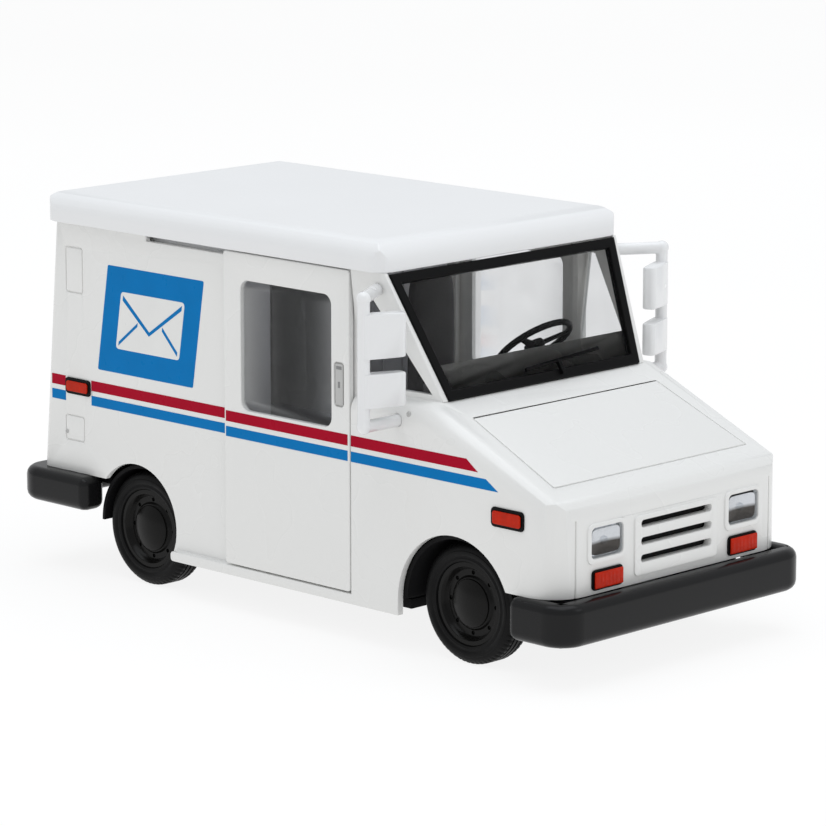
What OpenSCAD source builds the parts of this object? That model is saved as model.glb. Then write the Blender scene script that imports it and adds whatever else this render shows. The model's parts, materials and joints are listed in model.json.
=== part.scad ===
// Toy mail delivery van with sliding side doors, free-rolling wheels and a lift-off roof moulding.
// Millimetres. The nose faces -Y, +X is the van's left side, +Z is up.
// The origin is on the ground under the middle of the van.

/* [Overall] */
// Length over both bumpers
overall_len = 122.3; // [120:0.1:126]
// Width over the doors and fenders
body_w = 53; // [52:0.1:54]
// Height of the roof's flat top
roof_top_z = 62.5; // [61.5:0.1:64]
// Underside of the roof lip, where the body walls end
roof_under_z = 57.8; // [57.4:0.1:58.2]
// Body wall thickness
wall = 1.0; // [0.9:0.05:1.1]

/* [Nose, hood and windscreen] */
// How far the front bumper stands ahead of the nose
bumper_reach = 3.05; // [2.8:0.05:3.4]
// Radius of the nose corners seen from above
nose_corner_r = 6; // [5:0.1:6.5]
// Radius where the hood rolls over into the nose
nose_roll_r = 5; // [4:0.1:5.5]
// Height of the belt ledge under the side windows
belt_z = 39; // [38.6:0.1:39.4]
// Height of the hood at its front seam
hood_front_z = 29.2; // [28.6:0.1:29.8]
// Distance from the nose back to the hood's front seam
hood_front_in = 4.7; // [4.4:0.1:5]
// Distance from the nose back to the windscreen's foot
screen_foot_in = 26.4; // [26:0.1:26.8]
// Slope length of the windscreen
screen_len = 20.6; // [20.2:0.1:20.9]
// Lean of the windscreen from upright, in degrees
screen_lean = 25.8; // [25:0.1:26.5]
// Half width of the windscreen at its top
screen_top_half = 25.2; // [24.8:0.1:25.3]
// Half width of the windscreen at its foot
screen_foot_half = 21.5; // [21:0.1:21.7]
// Width of the black windscreen seal
seal_w = 1.6; // [1.2:0.1:2]
// Radius of the rounded shoulder along the fender tops
shoulder_r = 3; // [2:0.1:3.4]

/* [Sliding doors] */
// Front edge of each door, measured from the middle
door_front_y = -15.6; // [-15.8:0.1:-15.4]
// Length of each door
door_len = 27.7; // [27.4:0.1:28]
// Thickness of each door
door_t = 0.9; // [0.85:0.01:0.95]
// Clearance between a door and everything it passes
slide_gap = 0.3; // [0.28:0.01:0.35]
// Distance each door slides rearward
door_travel = 18.9; // [17:0.1:18.9]
// Lower edge of the door window
door_win_z0 = 32.8; // [32:0.1:33.4]
// Upper edge of the door window
door_win_z1 = 53.3; // [52.6:0.1:53.6]
// Width of the door window
door_win_w = 20; // [19:0.1:20.4]

/* [Wheels and axles] */
// Tyre radius
tyre_r = 9.3; // [9.1:0.05:9.4]
// Tyre width
tyre_w = 5.2; // [5:0.05:5.3]
// Radius where the tyre meets the hub
rim_r = 6.4; // [6.1:0.05:6.6]
// Radius of the domed hub cap
cap_r = 3.7; // [3.2:0.1:4]
// Half track, to the outer face of the tyres
track_half = 24; // [23.9:0.02:24]
// Front axle position
front_axle_y = -37.8; // [-38:0.1:-37.6]
// Rear axle position
rear_axle_y = 33.4; // [33.2:0.1:33.6]
// Axle radius
axle_r = 0.8; // [0.75:0.01:0.9]
// Radial clearance of an axle in its bearings
axle_fit = 0.06; // [0.04:0.01:0.09]

/* [Bumpers] */
// Half width of both bumpers
bumper_half = 28; // [27.8:0.1:28.4]
// Underside of the front bumper
front_bumper_z0 = 6.7; // [6.6:0.1:7]
// Top of the front bumper, where the nose sits on it
front_bumper_z1 = 13.3; // [13.1:0.1:13.5]
// Underside of the rear bumper
rear_bumper_z0 = 10.9; // [10.6:0.1:11.2]
// Top of the rear bumper and lower edge of the rear body
rear_bumper_z1 = 16.5; // [16.4:0.1:16.8]
// Corner radius of both bumpers seen from above
bumper_corner_r = 4.6; // [4:0.1:5]

/* [Mirrors] */
// How far each mirror bar stands out from the fenders
mirror_reach = 7; // [6.5:0.1:7.5]
// Front to back position of each mirror bar
mirror_bar_y = -25.75; // [-26:0.1:-25.5]
// Radius of the mirror bars
mirror_bar_r = 0.95; // [0.8:0.05:1.1]
// Length of the mirror heads
mirror_head_len = 6.6; // [6:0.1:7]

/* [Seat and steering wheel] */
// Distance of the driver's place from the centreline
driver_x = 10.6; // [10:0.1:11]
// Radius of the steering wheel's rim
steer_r = 6; // [5.6:0.1:6.2]
// Top of the seat back
seat_top_z = 50.5; // [49:0.1:51.5]

/* [Show] */
// Piece to draw, or all of them

/* [Hidden] */
$fn = 64;
e = 0.01;
inlay_gap = 0.03;
half_l = overall_len / 2;
half_w = body_w / 2;

// Side planes: the door skin lies outside the inset side wall
panel_half = half_w - door_t - slide_gap;
panel_in = panel_half - wall;
fender_in = half_w - 1.2;
door_rear_y = door_front_y + door_len;
fender_rear_y = door_front_y - slide_gap;

// Nose, hood and windscreen
nose_y = -half_l + bumper_reach;
hood_front_y = nose_y + hood_front_in;
screen_foot_y = nose_y + screen_foot_in;
cowl_y = screen_foot_y + 0.3;
hood_deg = atan2(belt_z - hood_front_z, cowl_y - hood_front_y);
roll_y = nose_y + nose_roll_r;
roll_z = hood_front_z + (sin(hood_deg) * (roll_y - hood_front_y) - nose_roll_r) / cos(hood_deg);
screen_top_y = screen_foot_y + screen_len * sin(screen_lean);
screen_t = 1.2;
dash_y = screen_foot_y + 8.2;

// Quarter window panels lean in towards the windscreen's foot
quarter_taper = 4.4;
quarter_lean = 8;

// Rear body
rear_top_y = half_l - 7.5;
rear_low_y = half_l - 3.85;
sill_z0 = 5.9;
sill_z1 = 7.5;
front_arch_r = 11.6;
front_arch_y = front_axle_y + 0.3;
front_arch_z = tyre_r - 0.8;
rear_arch_r = 9.5;
rear_arch_y = rear_axle_y + 1;
rear_arch_z = tyre_r + 1.2;

// Door openings and tracks
door_z0 = sill_z1 + slide_gap;
door_z1 = roof_under_z - slide_gap;
track_z = door_z1 - 0.6 - slide_gap;
open_y0 = door_front_y + 1.4;
open_y1 = door_rear_y - 1.3;
open_z0 = sill_z1 + 1.1;
open_z1 = track_z - 1.8;
hook_out = panel_in - slide_gap;
hook_in = hook_out - 0.6;
track_rear_y = door_rear_y + door_travel + slide_gap;
win_y0 = door_front_y + 3.9;
win_y1 = win_y0 + door_win_w;

// Mirrors
mirror_bar_x = half_w + mirror_reach;

// Chassis and floors
chassis_z0 = tyre_r - 3.1;
chassis_z1 = chassis_z0 + 1.6;
chassis_half = 23;
rail_half = 17.4;
liner_in = rail_half;
rear_plate_z0 = rear_bumper_z1 - 1.6;
screw_front_y = -51;
screw_rear_y = 49.5;
post_r = 2.4;
rear_boss_z = rear_bumper_z1 + 2.8;
floor_z = max(2 * tyre_r + 1.2, rear_boss_z + 0.5);

// Roof
roof_half = half_w + 0.5;
roof_front_y = screen_top_y - 0.2;
roof_rear_y = half_l - 6.85;

// Colours
white = [0.93, 0.93, 0.92];
black = [0.05, 0.05, 0.055];
grey = [0.45, 0.45, 0.47];
red = [0.75, 0.1, 0.04];
steel = [0.7, 0.7, 0.72];
clear = [0.75, 0.85, 0.9, 0.35];

// ---------- helpers ----------

// Draws a (y, z) outline as a slab across the van from x0 to x1
module side_slab(x0, x1) {
    translate([x0, 0, 0]) rotate([90, 0, 90]) linear_extrude(x1 - x0) children();
}

// Draws an (x, z) outline as a slab from y0 to y1
module front_slab(y0, y1) {
    translate([0, y1, 0]) rotate([90, 0, 0]) linear_extrude(y1 - y0) children();
}

// Draws an (x, y) outline as a slab from z0 to z1
module flat_slab(z0, z1) {
    translate([0, 0, z0]) linear_extrude(z1 - z0) children();
}

// Box given by its two corners
module box(a, b) {
    translate(a) cube(b - a);
}

// Rectangle with round corners, given by its two corners
module round_rect(a, b, r) {
    translate([a[0] + r, a[1]]) square([b[0] - a[0] - 2 * r, b[1] - a[1]]);
    translate([a[0], a[1] + r]) square([b[0] - a[0], b[1] - a[1] - 2 * r]);
    for (x = [a[0] + r, b[0] - r])
        for (y = [a[1] + r, b[1] - r])
            translate([x, y]) circle(r);
}

// Draws the children on the left side and mirrored on the right side
module both_sides() {
    children();
    mirror([1, 0, 0]) children();
}

// Cutter that rounds an edge running along +Y; the edge's outer top corner is at the origin
module edge_cutter(r, len) {
    difference() {
        translate([-r, 0, -r]) cube([r + 1, len, r + 1]);
        translate([-r, -1, -r]) rotate([-90, 0, 0]) cylinder(r = r, h = len + 2);
    }
}

// Puts an (x, slope) drawing on the windscreen plane; its thickness grows outward
module on_screen(h0, h1) {
    translate([0, screen_foot_y, belt_z]) rotate([90 - screen_lean, 0, 0])
        translate([0, 0, h0]) linear_extrude(h1 - h0) children();
}

// Windscreen outline shrunk by m on all sides
module screen_outline(m, top_extra = 0) {
    k = (screen_top_half - screen_foot_half) / screen_len;
    top = screen_len - m + top_extra;
    polygon([
        [-(screen_foot_half + k * m - m), m],
        [screen_foot_half + k * m - m, m],
        [screen_foot_half + k * top - m, top],
        [-(screen_foot_half + k * top - m), top]
    ]);
}

// ---------- body shell ----------

// Side outline of the front clip, shrunk by t for the hollow inside
module front_clip_outline(t) {
    n = [-sin(hood_deg), cos(hood_deg)];
    r = nose_roll_r - t;
    tangent = [roll_y + n[0] * r, roll_z + n[1] * r];
    drop = t / cos(hood_deg);
    low = t > 0 ? -1 : 0;
    polygon([
        [fender_rear_y - (t > 0 ? 1.2 : 0), sill_z0 + low],
        [fender_rear_y - (t > 0 ? 1.2 : 0), belt_z - t],
        [cowl_y + t * 0.3, belt_z - t],
        tangent,
        [nose_y + t, roll_z],
        [nose_y + t, front_bumper_z1 + low],
        [front_axle_y, front_bumper_z1 + low],
        [front_axle_y, sill_z0 + low]
    ]);
    translate([roll_y, roll_z]) circle(r);
}

module front_clip() {
    difference() {
        intersection() {
            side_slab(-half_w, half_w) front_clip_outline(0);
            flat_slab(0, belt_z + 1)
                round_rect([-half_w, nose_y], [half_w, fender_rear_y + nose_corner_r], nose_corner_r);
        }
        both_sides() {
            translate([half_w, hood_front_y, hood_front_z]) rotate([hood_deg, 0, 0])
                translate([0, -9, 0]) edge_cutter(shoulder_r, 60);
            translate([half_w, cowl_y - 12, belt_z]) edge_cutter(shoulder_r, 40);
        }
        intersection() {
            side_slab(-fender_in, fender_in) front_clip_outline(1.2);
            flat_slab(0, belt_z + 1)
                round_rect([-fender_in, nose_y + 1.2], [fender_in, fender_rear_y + nose_corner_r],
                    nose_corner_r - 1.2);
        }
    }
}

// Half space outside the left quarter window panel, moved inward by t
module quarter_cut(t) {
    translate([half_w - t, fender_rear_y, roof_under_z]) rotate([0, quarter_lean, -quarter_taper])
        translate([0, -60, -60]) cube([40, 120, 120]);
}

// Solid filling the cab above the belt, shrunk by t at the sides and by front_t at the windscreen
module cab_solid(t, front_t, low, back) {
    shift = front_t / cos(screen_lean);
    drop = low * tan(screen_lean);
    difference() {
        side_slab(-half_w, half_w) polygon([
            [screen_foot_y + shift - drop, belt_z - low],
            [screen_foot_y + shift + (roof_under_z - belt_z) * tan(screen_lean), roof_under_z],
            [back, roof_under_z],
            [back, belt_z - low]
        ]);
        both_sides() quarter_cut(t);
    }
}

// Outline of the quarter window in side view, shrunk by m
module quarter_outline(m) {
    foot_y = screen_foot_y + 2.1;
    back_y = fender_rear_y - 1.8;
    z0 = belt_z + 0.9;
    z1 = roof_under_z - 3.2;
    polygon([
        [back_y - m, z0 + m],
        [foot_y + 2.2 * m, z0 + m],
        [foot_y + (z1 - z0) * 0.72 + m * 0.6, z1 - m],
        [back_y - m, z1 - m]
    ]);
}

module cab_frame() {
    difference() {
        cab_solid(0, 0, e, fender_rear_y);
        cab_solid(wall, screen_t, 3, fender_rear_y - 1.2);
        // doorway side of the front post
        box([-panel_in, fender_rear_y - 2, belt_z - 3], [panel_in - 1, fender_rear_y + 1, roof_under_z + 1]);
        on_screen(-6, 6) screen_outline(-inlay_gap, 6);
        side_slab(-half_w - 1, half_w + 1) quarter_outline(0);
    }
}

module side_outline() {
    polygon([
        [fender_rear_y - 1.2, sill_z0],
        [fender_rear_y - 1.2, roof_under_z],
        [rear_top_y, roof_under_z],
        [rear_low_y, rear_bumper_z1],
        [rear_arch_y, rear_bumper_z1],
        [rear_arch_y, sill_z0]
    ]);
}

module rear_box() {
    rear_deg = atan2(rear_low_y - rear_top_y, roof_under_z - rear_bumper_z1);
    difference() {
        side_slab(-panel_half, panel_half) side_outline();
        // hollow inside
        difference() {
            side_slab(-panel_in, panel_in) polygon([
                [fender_rear_y - 3, sill_z0 - 1],
                [fender_rear_y - 3, roof_under_z + 1],
                [rear_top_y - wall, roof_under_z + 1],
                [rear_low_y - wall, rear_bumper_z1 - 1],
                [rear_arch_y, rear_bumper_z1 - 1],
                [rear_arch_y, sill_z0 - 1]
            ]);
            box([-3, screw_rear_y - 2.6, rear_bumper_z1], [3, rear_low_y, rear_boss_z]);
        }
        // rear corners
        both_sides() translate([panel_half, rear_low_y - 0.02, rear_bumper_z1]) rotate([rear_deg, 0, 0])
            translate([0, 0, -20]) upright_cutter(1.5, 90);
        // doorways
        box([-half_w, open_y0, open_z0], [half_w, open_y1, open_z1]);
        // top tracks
        both_sides() box([panel_in - 1, fender_rear_y, track_z], [half_w, track_rear_y, roof_under_z + 1]);
        // rear doorway
        rear_door_place(-4, 3) round_rect([-rear_open_half, rear_open_s0], [rear_open_half, rear_open_s1], 1);
        // screw hole
        translate([0, screw_rear_y, rear_bumper_z1 - 1]) cylinder(r = screw_shank_r + 0.02, h = 3.4);
        // shallow outlines of the upper hatch and the fuel door
        both_sides() {
            side_slab(panel_half - 0.25, panel_half + 1) outline_ring([46.6, 46.2], [50.8, 53.8], 0.5);
            side_slab(panel_half - 0.25, panel_half + 1) outline_ring([46.7, 21.7], [51.4, 26], 0.5);
        }
    }
}

// Cutter that rounds an upright edge; the edge runs along Z and its outer corner is at the origin
module upright_cutter(r, len) {
    difference() {
        translate([-r, -r, 0]) cube([r + 1, r + 1, len]);
        translate([-r, -r, -1]) cylinder(r = r, h = len + 2);
    }
}

// Thin ring along a rounded rectangle
module outline_ring(a, b, r) {
    difference() {
        round_rect(a, b, r);
        round_rect(a + [0.22, 0.22], b - [0.22, 0.22], r - 0.15);
    }
}

// Sill ledge that the doors run along
module sill() {
    both_sides() side_slab(panel_in, half_w)
        round_rect([fender_rear_y - 3, sill_z0], [rear_arch_y - rear_arch_r + 0.15, sill_z1], 0.6);
}

module wheel_arch_cuts() {
    side_slab(-half_w - 1, half_w + 1) translate([front_arch_y, front_arch_z]) circle(front_arch_r);
    side_slab(-half_w - 1, half_w + 1) translate([rear_arch_y, rear_arch_z]) circle(rear_arch_r);
    // body stays open below the front arch
    box([-half_w - 1, front_arch_y - front_arch_r, 0], [half_w + 1, front_arch_y + front_arch_r, front_arch_z]);
}

// Front screw post hanging from the hood
module front_post() {
    difference() {
        intersection() {
            translate([0, screw_front_y, chassis_z1]) cylinder(r = post_r, h = 30);
            side_slab(-post_r - 1, post_r + 1) union() {
                front_clip_outline(0.6);
                translate([screw_front_y - 3, 0]) square([6, front_bumper_z1 + 2]);
            }
        }
        translate([0, screw_front_y, chassis_z1 - 1]) cylinder(r = screw_shank_r + 0.02, h = 4.2);
    }
}

// Lamp and grille sizes on the nose
lamp_x0 = 12;
lamp_x1 = 19;
lamp_z0 = 18.7;
lamp_z1 = 23.4;
lamp_bezel = 0.8;
signal_z0 = 13.9;
signal_z1 = 17;
slot_half = 8;
slot_h = 1.15;
slot_z = [16.4, 19.05, 21.7];
grille_half = 9.4;

module nose_cuts() {
    // lamp pockets
    both_sides() front_slab(nose_y - 1, nose_y + 0.9) round_rect([lamp_x0, lamp_z0], [lamp_x1, lamp_z1], 0.8);
    // grille slots
    for (z = slot_z)
        front_slab(nose_y - 1, nose_y + 2) round_rect([-slot_half, z], [slot_half, z + slot_h], 0.5);
    // seams beside the nose panel
    both_sides() box([21.85, nose_y - 1, front_bumper_z1 - 1], [22.1, nose_y + 0.45, roll_z + 1]);
}

// Seams of the hood panel, cut into the sloping top
module hood_seams() {
    run = (cowl_y - hood_front_y) / cos(hood_deg);
    translate([0, hood_front_y, hood_front_z]) rotate([hood_deg, 0, 0]) {
        box([-21.7, -0.15, -0.35], [21.7, 0.1, 1]);
        box([-20.6, run - 5.2, -0.35], [20.6, run - 4.95, 1]);
        both_sides() translate([21.7, 0, -0.35]) rotate([0, 0, atan(1.1 / (run - 5))])
            cube([0.25, run - 5, 1.35]);
    }
}

// Raised surrounds on the nose
module nose_trim() {
    both_sides() difference() {
        front_slab(nose_y - 0.3, nose_y + e) round_rect([lamp_x0 - lamp_bezel, lamp_z0 - lamp_bezel],
            [lamp_x1 + lamp_bezel, lamp_z1 + lamp_bezel * 0.7], 1.2);
        front_slab(nose_y - 1, nose_y + 1) round_rect([lamp_x0, lamp_z0], [lamp_x1, lamp_z1], 0.8);
    }
    difference() {
        front_slab(nose_y - 0.3, nose_y + e) round_rect([-grille_half, 14.5], [grille_half, 23.6], 0.8);
        for (z = slot_z)
            front_slab(nose_y - 1, nose_y + 1) round_rect([-slot_half, z], [slot_half, z + slot_h], 0.5);
    }
}

module body_shell() {
    color(white) {
        difference() {
            union() {
                front_clip();
                cab_frame();
                rear_box();
                sill();
            }
            wheel_arch_cuts();
            nose_cuts();
            hood_seams();
            // seat of the windscreen seal in the cowl
            on_screen(-0.95, 4) screen_outline(-inlay_gap, 6);
            // open passage between hood space and cab, under the belt ledge
            box([-panel_in, fender_rear_y - 2, 0], [panel_in, fender_rear_y + 1, belt_z - 1.2]);
            // cab opening through the belt ledge
            intersection() {
                cab_solid(wall, screen_t, 2, fender_rear_y + 1);
                box([-half_w, nose_y, belt_z - 2], [half_w, fender_rear_y + 2, belt_z + 1]);
            }
            // fender seats of the lower mirror arms
            both_sides() translate([half_w - 0.8, mirror_bar_y, mirror_low_z])
                rotate([0, 90, 0]) cylinder(r = mirror_bar_r + inlay_gap, h = 3);
        }
        front_post();
        nose_trim();
    }
}

// ---------- roof ----------

module roof_panel() {
    side_r = 3.2;
    front_r = 3.9;
    rear_r = 2.4;
    corner_r = 3;
    long = roof_rear_y - roof_front_y + 2;
    color(white) difference() {
        box([-roof_half, roof_front_y, roof_under_z], [roof_half, roof_rear_y, roof_top_z]);
        both_sides() {
            translate([roof_half, roof_front_y - 1, roof_top_z]) edge_cutter(side_r, long);
            translate([roof_half, roof_rear_y, roof_under_z - 1]) upright_cutter(corner_r, 8);
            translate([roof_half, roof_front_y, roof_under_z - 1]) mirror([0, 1, 0]) upright_cutter(corner_r, 8);
        }
        translate([-roof_half - 1, roof_front_y, roof_top_z])
            rotate([0, 0, -90]) edge_cutter(front_r, 2 * roof_half + 2);
        translate([roof_half + 1, roof_rear_y, roof_top_z])
            rotate([0, 0, 90]) edge_cutter(rear_r, 2 * roof_half + 2);
        // hollow underside
        flat_slab(roof_under_z - 1, roof_top_z - 1.3)
            round_rect([-panel_in + 1.6, roof_front_y + 4], [panel_in - 1.6, rear_top_y - 2.5], 2);
    }
}

// ---------- sliding doors ----------

module door_skin() {
    difference() {
        side_slab(half_w - door_t, half_w)
            round_rect([door_front_y, door_z0], [door_rear_y, door_z1], 0.5);
        side_slab(half_w - 2, half_w + 1) round_rect([win_y0, door_win_z0], [win_y1, door_win_z1], 1.6);
        // finger recess behind the handle
        side_slab(half_w - 0.5, half_w + 1)
            round_rect([door_front_y + 1.2, 36.3], [door_front_y + 3.3, 43.2], 0.6);
    }
    // upright pull bar in the recess
    side_slab(half_w - 0.55, half_w - 0.1) round_rect([door_front_y + 1.9, 36.8], [door_front_y + 2.6, 42.7], 0.3);
}

module door_shape() {
    door_skin();
    // top runner: lip over the rail and hook behind it
    box([hook_in, door_front_y + 0.4, door_z1 - 0.6], [half_w - door_t + e, door_rear_y - 0.2, door_z1]);
    box([hook_in, door_front_y + 0.4, track_z - 1], [hook_out, door_rear_y - 0.2, door_z1 - 0.5]);
    // bottom foot: lip over the sill rail and hook behind it
    foot_y0 = open_y0 + slide_gap;
    foot_y1 = open_y1 - slide_gap - door_travel;
    box([hook_in, foot_y0, open_z0 + slide_gap], [half_w - door_t + e, foot_y1, open_z0 + slide_gap + 0.6]);
    box([hook_in, foot_y0, open_z0 - 0.6], [hook_out, foot_y1, open_z0 + slide_gap + 0.5]);
}

module right_door() {
    color(white) mirror([1, 0, 0]) door_shape();
}

module left_door() {
    color(white) door_shape();
}

module door_pane() {
    side_slab(half_w - door_t + 0.1, half_w - door_t + 0.5)
        round_rect([win_y0 + inlay_gap, door_win_z0 + inlay_gap],
            [win_y1 - inlay_gap, door_win_z1 - inlay_gap], 1.6 - inlay_gap);
}

module right_door_window() {
    color(clear) mirror([1, 0, 0]) door_pane();
}

module left_door_window() {
    color(clear) door_pane();
}

// ---------- windscreen and quarter windows ----------

module windscreen_seal() {
    color(black) difference() {
        on_screen(-0.9, 0.3) screen_outline(0);
        on_screen(-2, 2) screen_outline(seal_w);
    }
}

module windscreen_glass() {
    color(clear) on_screen(-0.6, -0.1) screen_outline(seal_w + inlay_gap);
}

module quarter_pane() {
    intersection() {
        difference() {
            cab_solid(0.3, 0, 0, fender_rear_y - 1);
            cab_solid(0.7, -3, 3, fender_rear_y + 3);
        }
        side_slab(10, half_w) quarter_outline(inlay_gap);
    }
}

module right_quarter_window() {
    color(clear) mirror([1, 0, 0]) quarter_pane();
}

module left_quarter_window() {
    color(clear) quarter_pane();
}

module windscreen_wiper() {
    color(black) {
        on_screen(0.3, 0.8) translate([-4, seal_w + 0.5]) rotate([0, 0, 4]) square([17, 0.5]);
        on_screen(0.3, 0.9) translate([3.4, 0.6]) rotate([0, 0, 8]) square([0.6, 2.4]);
    }
}

// ---------- rear door ----------

rear_deg_now = atan2(rear_low_y - rear_top_y, roof_under_z - rear_bumper_z1);
rear_open_half = 20;
rear_open_s0 = 3.2;
rear_open_s1 = 35.4;

// Puts an (x, slope) drawing on the sloping rear wall; its thickness grows rearward
module rear_door_place(h0, h1) {
    translate([0, rear_low_y, rear_bumper_z1]) rotate([90 + rear_deg_now, 0, 0])
        translate([0, 0, -h1]) linear_extrude(h1 - h0) children();
}

module rear_door() {
    m = inlay_gap;
    slat = (rear_open_s1 - rear_open_s0) / 8;
    color(white) difference() {
        rear_door_place(-0.9, -0.2) round_rect([-rear_open_half + m, rear_open_s0 + m],
            [rear_open_half - m, rear_open_s1 - m], 1 - m);
        for (i = [1 : 7])
            rear_door_place(-0.4, 1) translate([-rear_open_half + 1, rear_open_s0 + slat * i])
                square([2 * rear_open_half - 2, 0.3]);
        rear_door_place(-2, 1) round_rect([-7, 22.5], [7, 29], 0.8);
    }
}

module rear_door_window() {
    color(clear) rear_door_place(-0.75, -0.35) round_rect([-7 + inlay_gap, 22.5 + inlay_gap],
        [7 - inlay_gap, 29 - inlay_gap], 0.8 - inlay_gap);
}

module rear_door_handle() {
    color(black) {
        rear_door_place(-0.2, 0.5) round_rect([-3, 5.6], [3, 7], 0.5);
        rear_door_place(0.5, 0.9) round_rect([-1.6, 5.9], [1.6, 6.7], 0.35);
    }
}

// ---------- lamps and markers ----------

module grille_insert() {
    color(black) front_slab(nose_y + 1.2, nose_y + 2) round_rect([-9.2, 15.4], [9.2, 23.4], 0.6);
}

module headlamp_reflector() {
    front_slab(nose_y + 0.5, nose_y + 0.9)
        round_rect([lamp_x0 + 0.05, lamp_z0 + 0.05], [lamp_x1 - 0.05, lamp_z1 - 0.05], 0.75);
}

module headlamp_reflectors() {
    color(steel) both_sides() headlamp_reflector();
}

module headlamp_lens() {
    front_slab(nose_y - 0.15, nose_y + 0.5)
        round_rect([lamp_x0 + 0.05, lamp_z0 + 0.05], [lamp_x1 - 0.05, lamp_z1 - 0.05], 0.75);
}

module right_headlamp() {
    color(clear) mirror([1, 0, 0]) headlamp_lens();
}

module left_headlamp() {
    color(clear) headlamp_lens();
}

module turn_signal_frames() {
    color(black) both_sides()
        front_slab(nose_y - 0.3, nose_y) round_rect([lamp_x0, signal_z0], [lamp_x1 - 0.2, signal_z1], 0.7);
}

module signal_lens() {
    front_slab(nose_y - 0.7, nose_y - 0.3)
        round_rect([lamp_x0 + 0.5, signal_z0 + 0.5], [lamp_x1 - 0.7, signal_z1 - 0.5], 0.5);
}

module right_turn_signal() {
    color(red) mirror([1, 0, 0]) signal_lens();
}

module left_turn_signal() {
    color(red) signal_lens();
}

// Side marker places: [y0, z0, y1, z1]
front_marker = [-51.9, 23, -45.3, 26];
rear_marker = [45, 29.5, 51.1, 32.2];

module marker_pad(place, m, x0, x1) {
    side_slab(x0, x1) round_rect([place[0] + m, place[1] + m], [place[2] - m, place[3] - m], 0.7 - m / 2);
}

module side_marker_frames() {
    color(black) both_sides() {
        marker_pad(front_marker, 0, half_w, half_w + 0.25);
        marker_pad(rear_marker, 0, panel_half, panel_half + 0.25);
    }
}

module front_side_markers() {
    color(red) both_sides() marker_pad(front_marker, 0.5, half_w + 0.25, half_w + 0.55);
}

module rear_side_markers() {
    color(red) both_sides() marker_pad(rear_marker, 0.5, panel_half + 0.25, panel_half + 0.55);
}

module tail_lamp() {
    rear_door_place(0, 0.6) round_rect([21, 7], [23.6, 15], 0.6);
}

module right_tail_lamp() {
    color(red) mirror([1, 0, 0]) tail_lamp();
}

module left_tail_lamp() {
    color(red) tail_lamp();
}

// ---------- mirrors ----------

mirror_low_z = 36;
mirror_top_z = 55.3;
mirror_toe = 22.5;

module mirror_head(z0, z1) {
    translate([mirror_bar_x, mirror_bar_y, z0]) rotate([0, 0, mirror_toe])
        difference() {
            linear_extrude(z1 - z0) round_rect([-mirror_head_len, -1.1], [0.6, 1.1], 0.8);
            translate([-mirror_head_len + 0.6, 0.7, 0.6]) cube([mirror_head_len - 2, 2, z1 - z0 - 1.2]);
        }
}

module mirror_shape() {
    r = mirror_bar_r;
    // upright bar with rounded ends
    translate([mirror_bar_x, mirror_bar_y, mirror_low_z]) cylinder(r = r, h = mirror_top_z - mirror_low_z);
    translate([mirror_bar_x, mirror_bar_y, mirror_low_z]) sphere(r + 0.15);
    translate([mirror_bar_x, mirror_bar_y, mirror_top_z]) sphere(r + 0.15);
    // lower arm into the fender
    translate([half_w - 0.8, mirror_bar_y, mirror_low_z])
        rotate([0, 90, 0]) cylinder(r = r, h = mirror_bar_x - half_w + 0.8);
    // upper arm to the windscreen pillar
    dx = mirror_bar_x - half_w + 0.75;
    dy = mirror_arm_y - mirror_bar_y;
    translate([mirror_bar_x, mirror_bar_y, mirror_top_z]) rotate([0, 0, atan2(dy, -dx)])
        rotate([0, 90, 0]) cylinder(r = r, h = sqrt(dx * dx + dy * dy));
    mirror_head(46.3, 53);
    mirror_head(38.9, 44);
}

mirror_arm_y = -21;

module mirror_trimmed() {
    difference() {
        mirror_shape();
        // flat landing against the pillar
        difference() {
            box([0, -35, 50], [half_w + 1, -10, roof_under_z + 3]);
            translate([-inlay_gap, 0, 0]) quarter_cut(-inlay_gap);
        }
    }
}

module right_mirror() {
    color(white) mirror([1, 0, 0]) mirror_trimmed();
}

module left_mirror() {
    color(white) mirror_trimmed();
}

module mirror_pane(z0, z1) {
    translate([mirror_bar_x, mirror_bar_y, z0]) rotate([0, 0, mirror_toe])
        translate([-mirror_head_len + 0.65, 0.7, 0.65]) cube([mirror_head_len - 2.1, 0.25, z1 - z0 - 1.3]);
}

module mirror_glasses() {
    color(steel) both_sides() {
        mirror_pane(46.3, 53);
        mirror_pane(38.9, 44);
    }
}

// ---------- chassis and bumpers ----------

screw_shank_r = 0.7;
screw_head_r = 1.5;
screw_sink = 0.85;

module bearing(y) {
    both_sides() difference() {
        box([rail_half - 3, y - 2.6, chassis_z1 - e], [rail_half, y + 2.6, tyre_r + 2.6]);
        translate([rail_half - 4, y, tyre_r]) rotate([0, 90, 0]) cylinder(r = axle_r + axle_fit, h = 6);
    }
}

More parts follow.
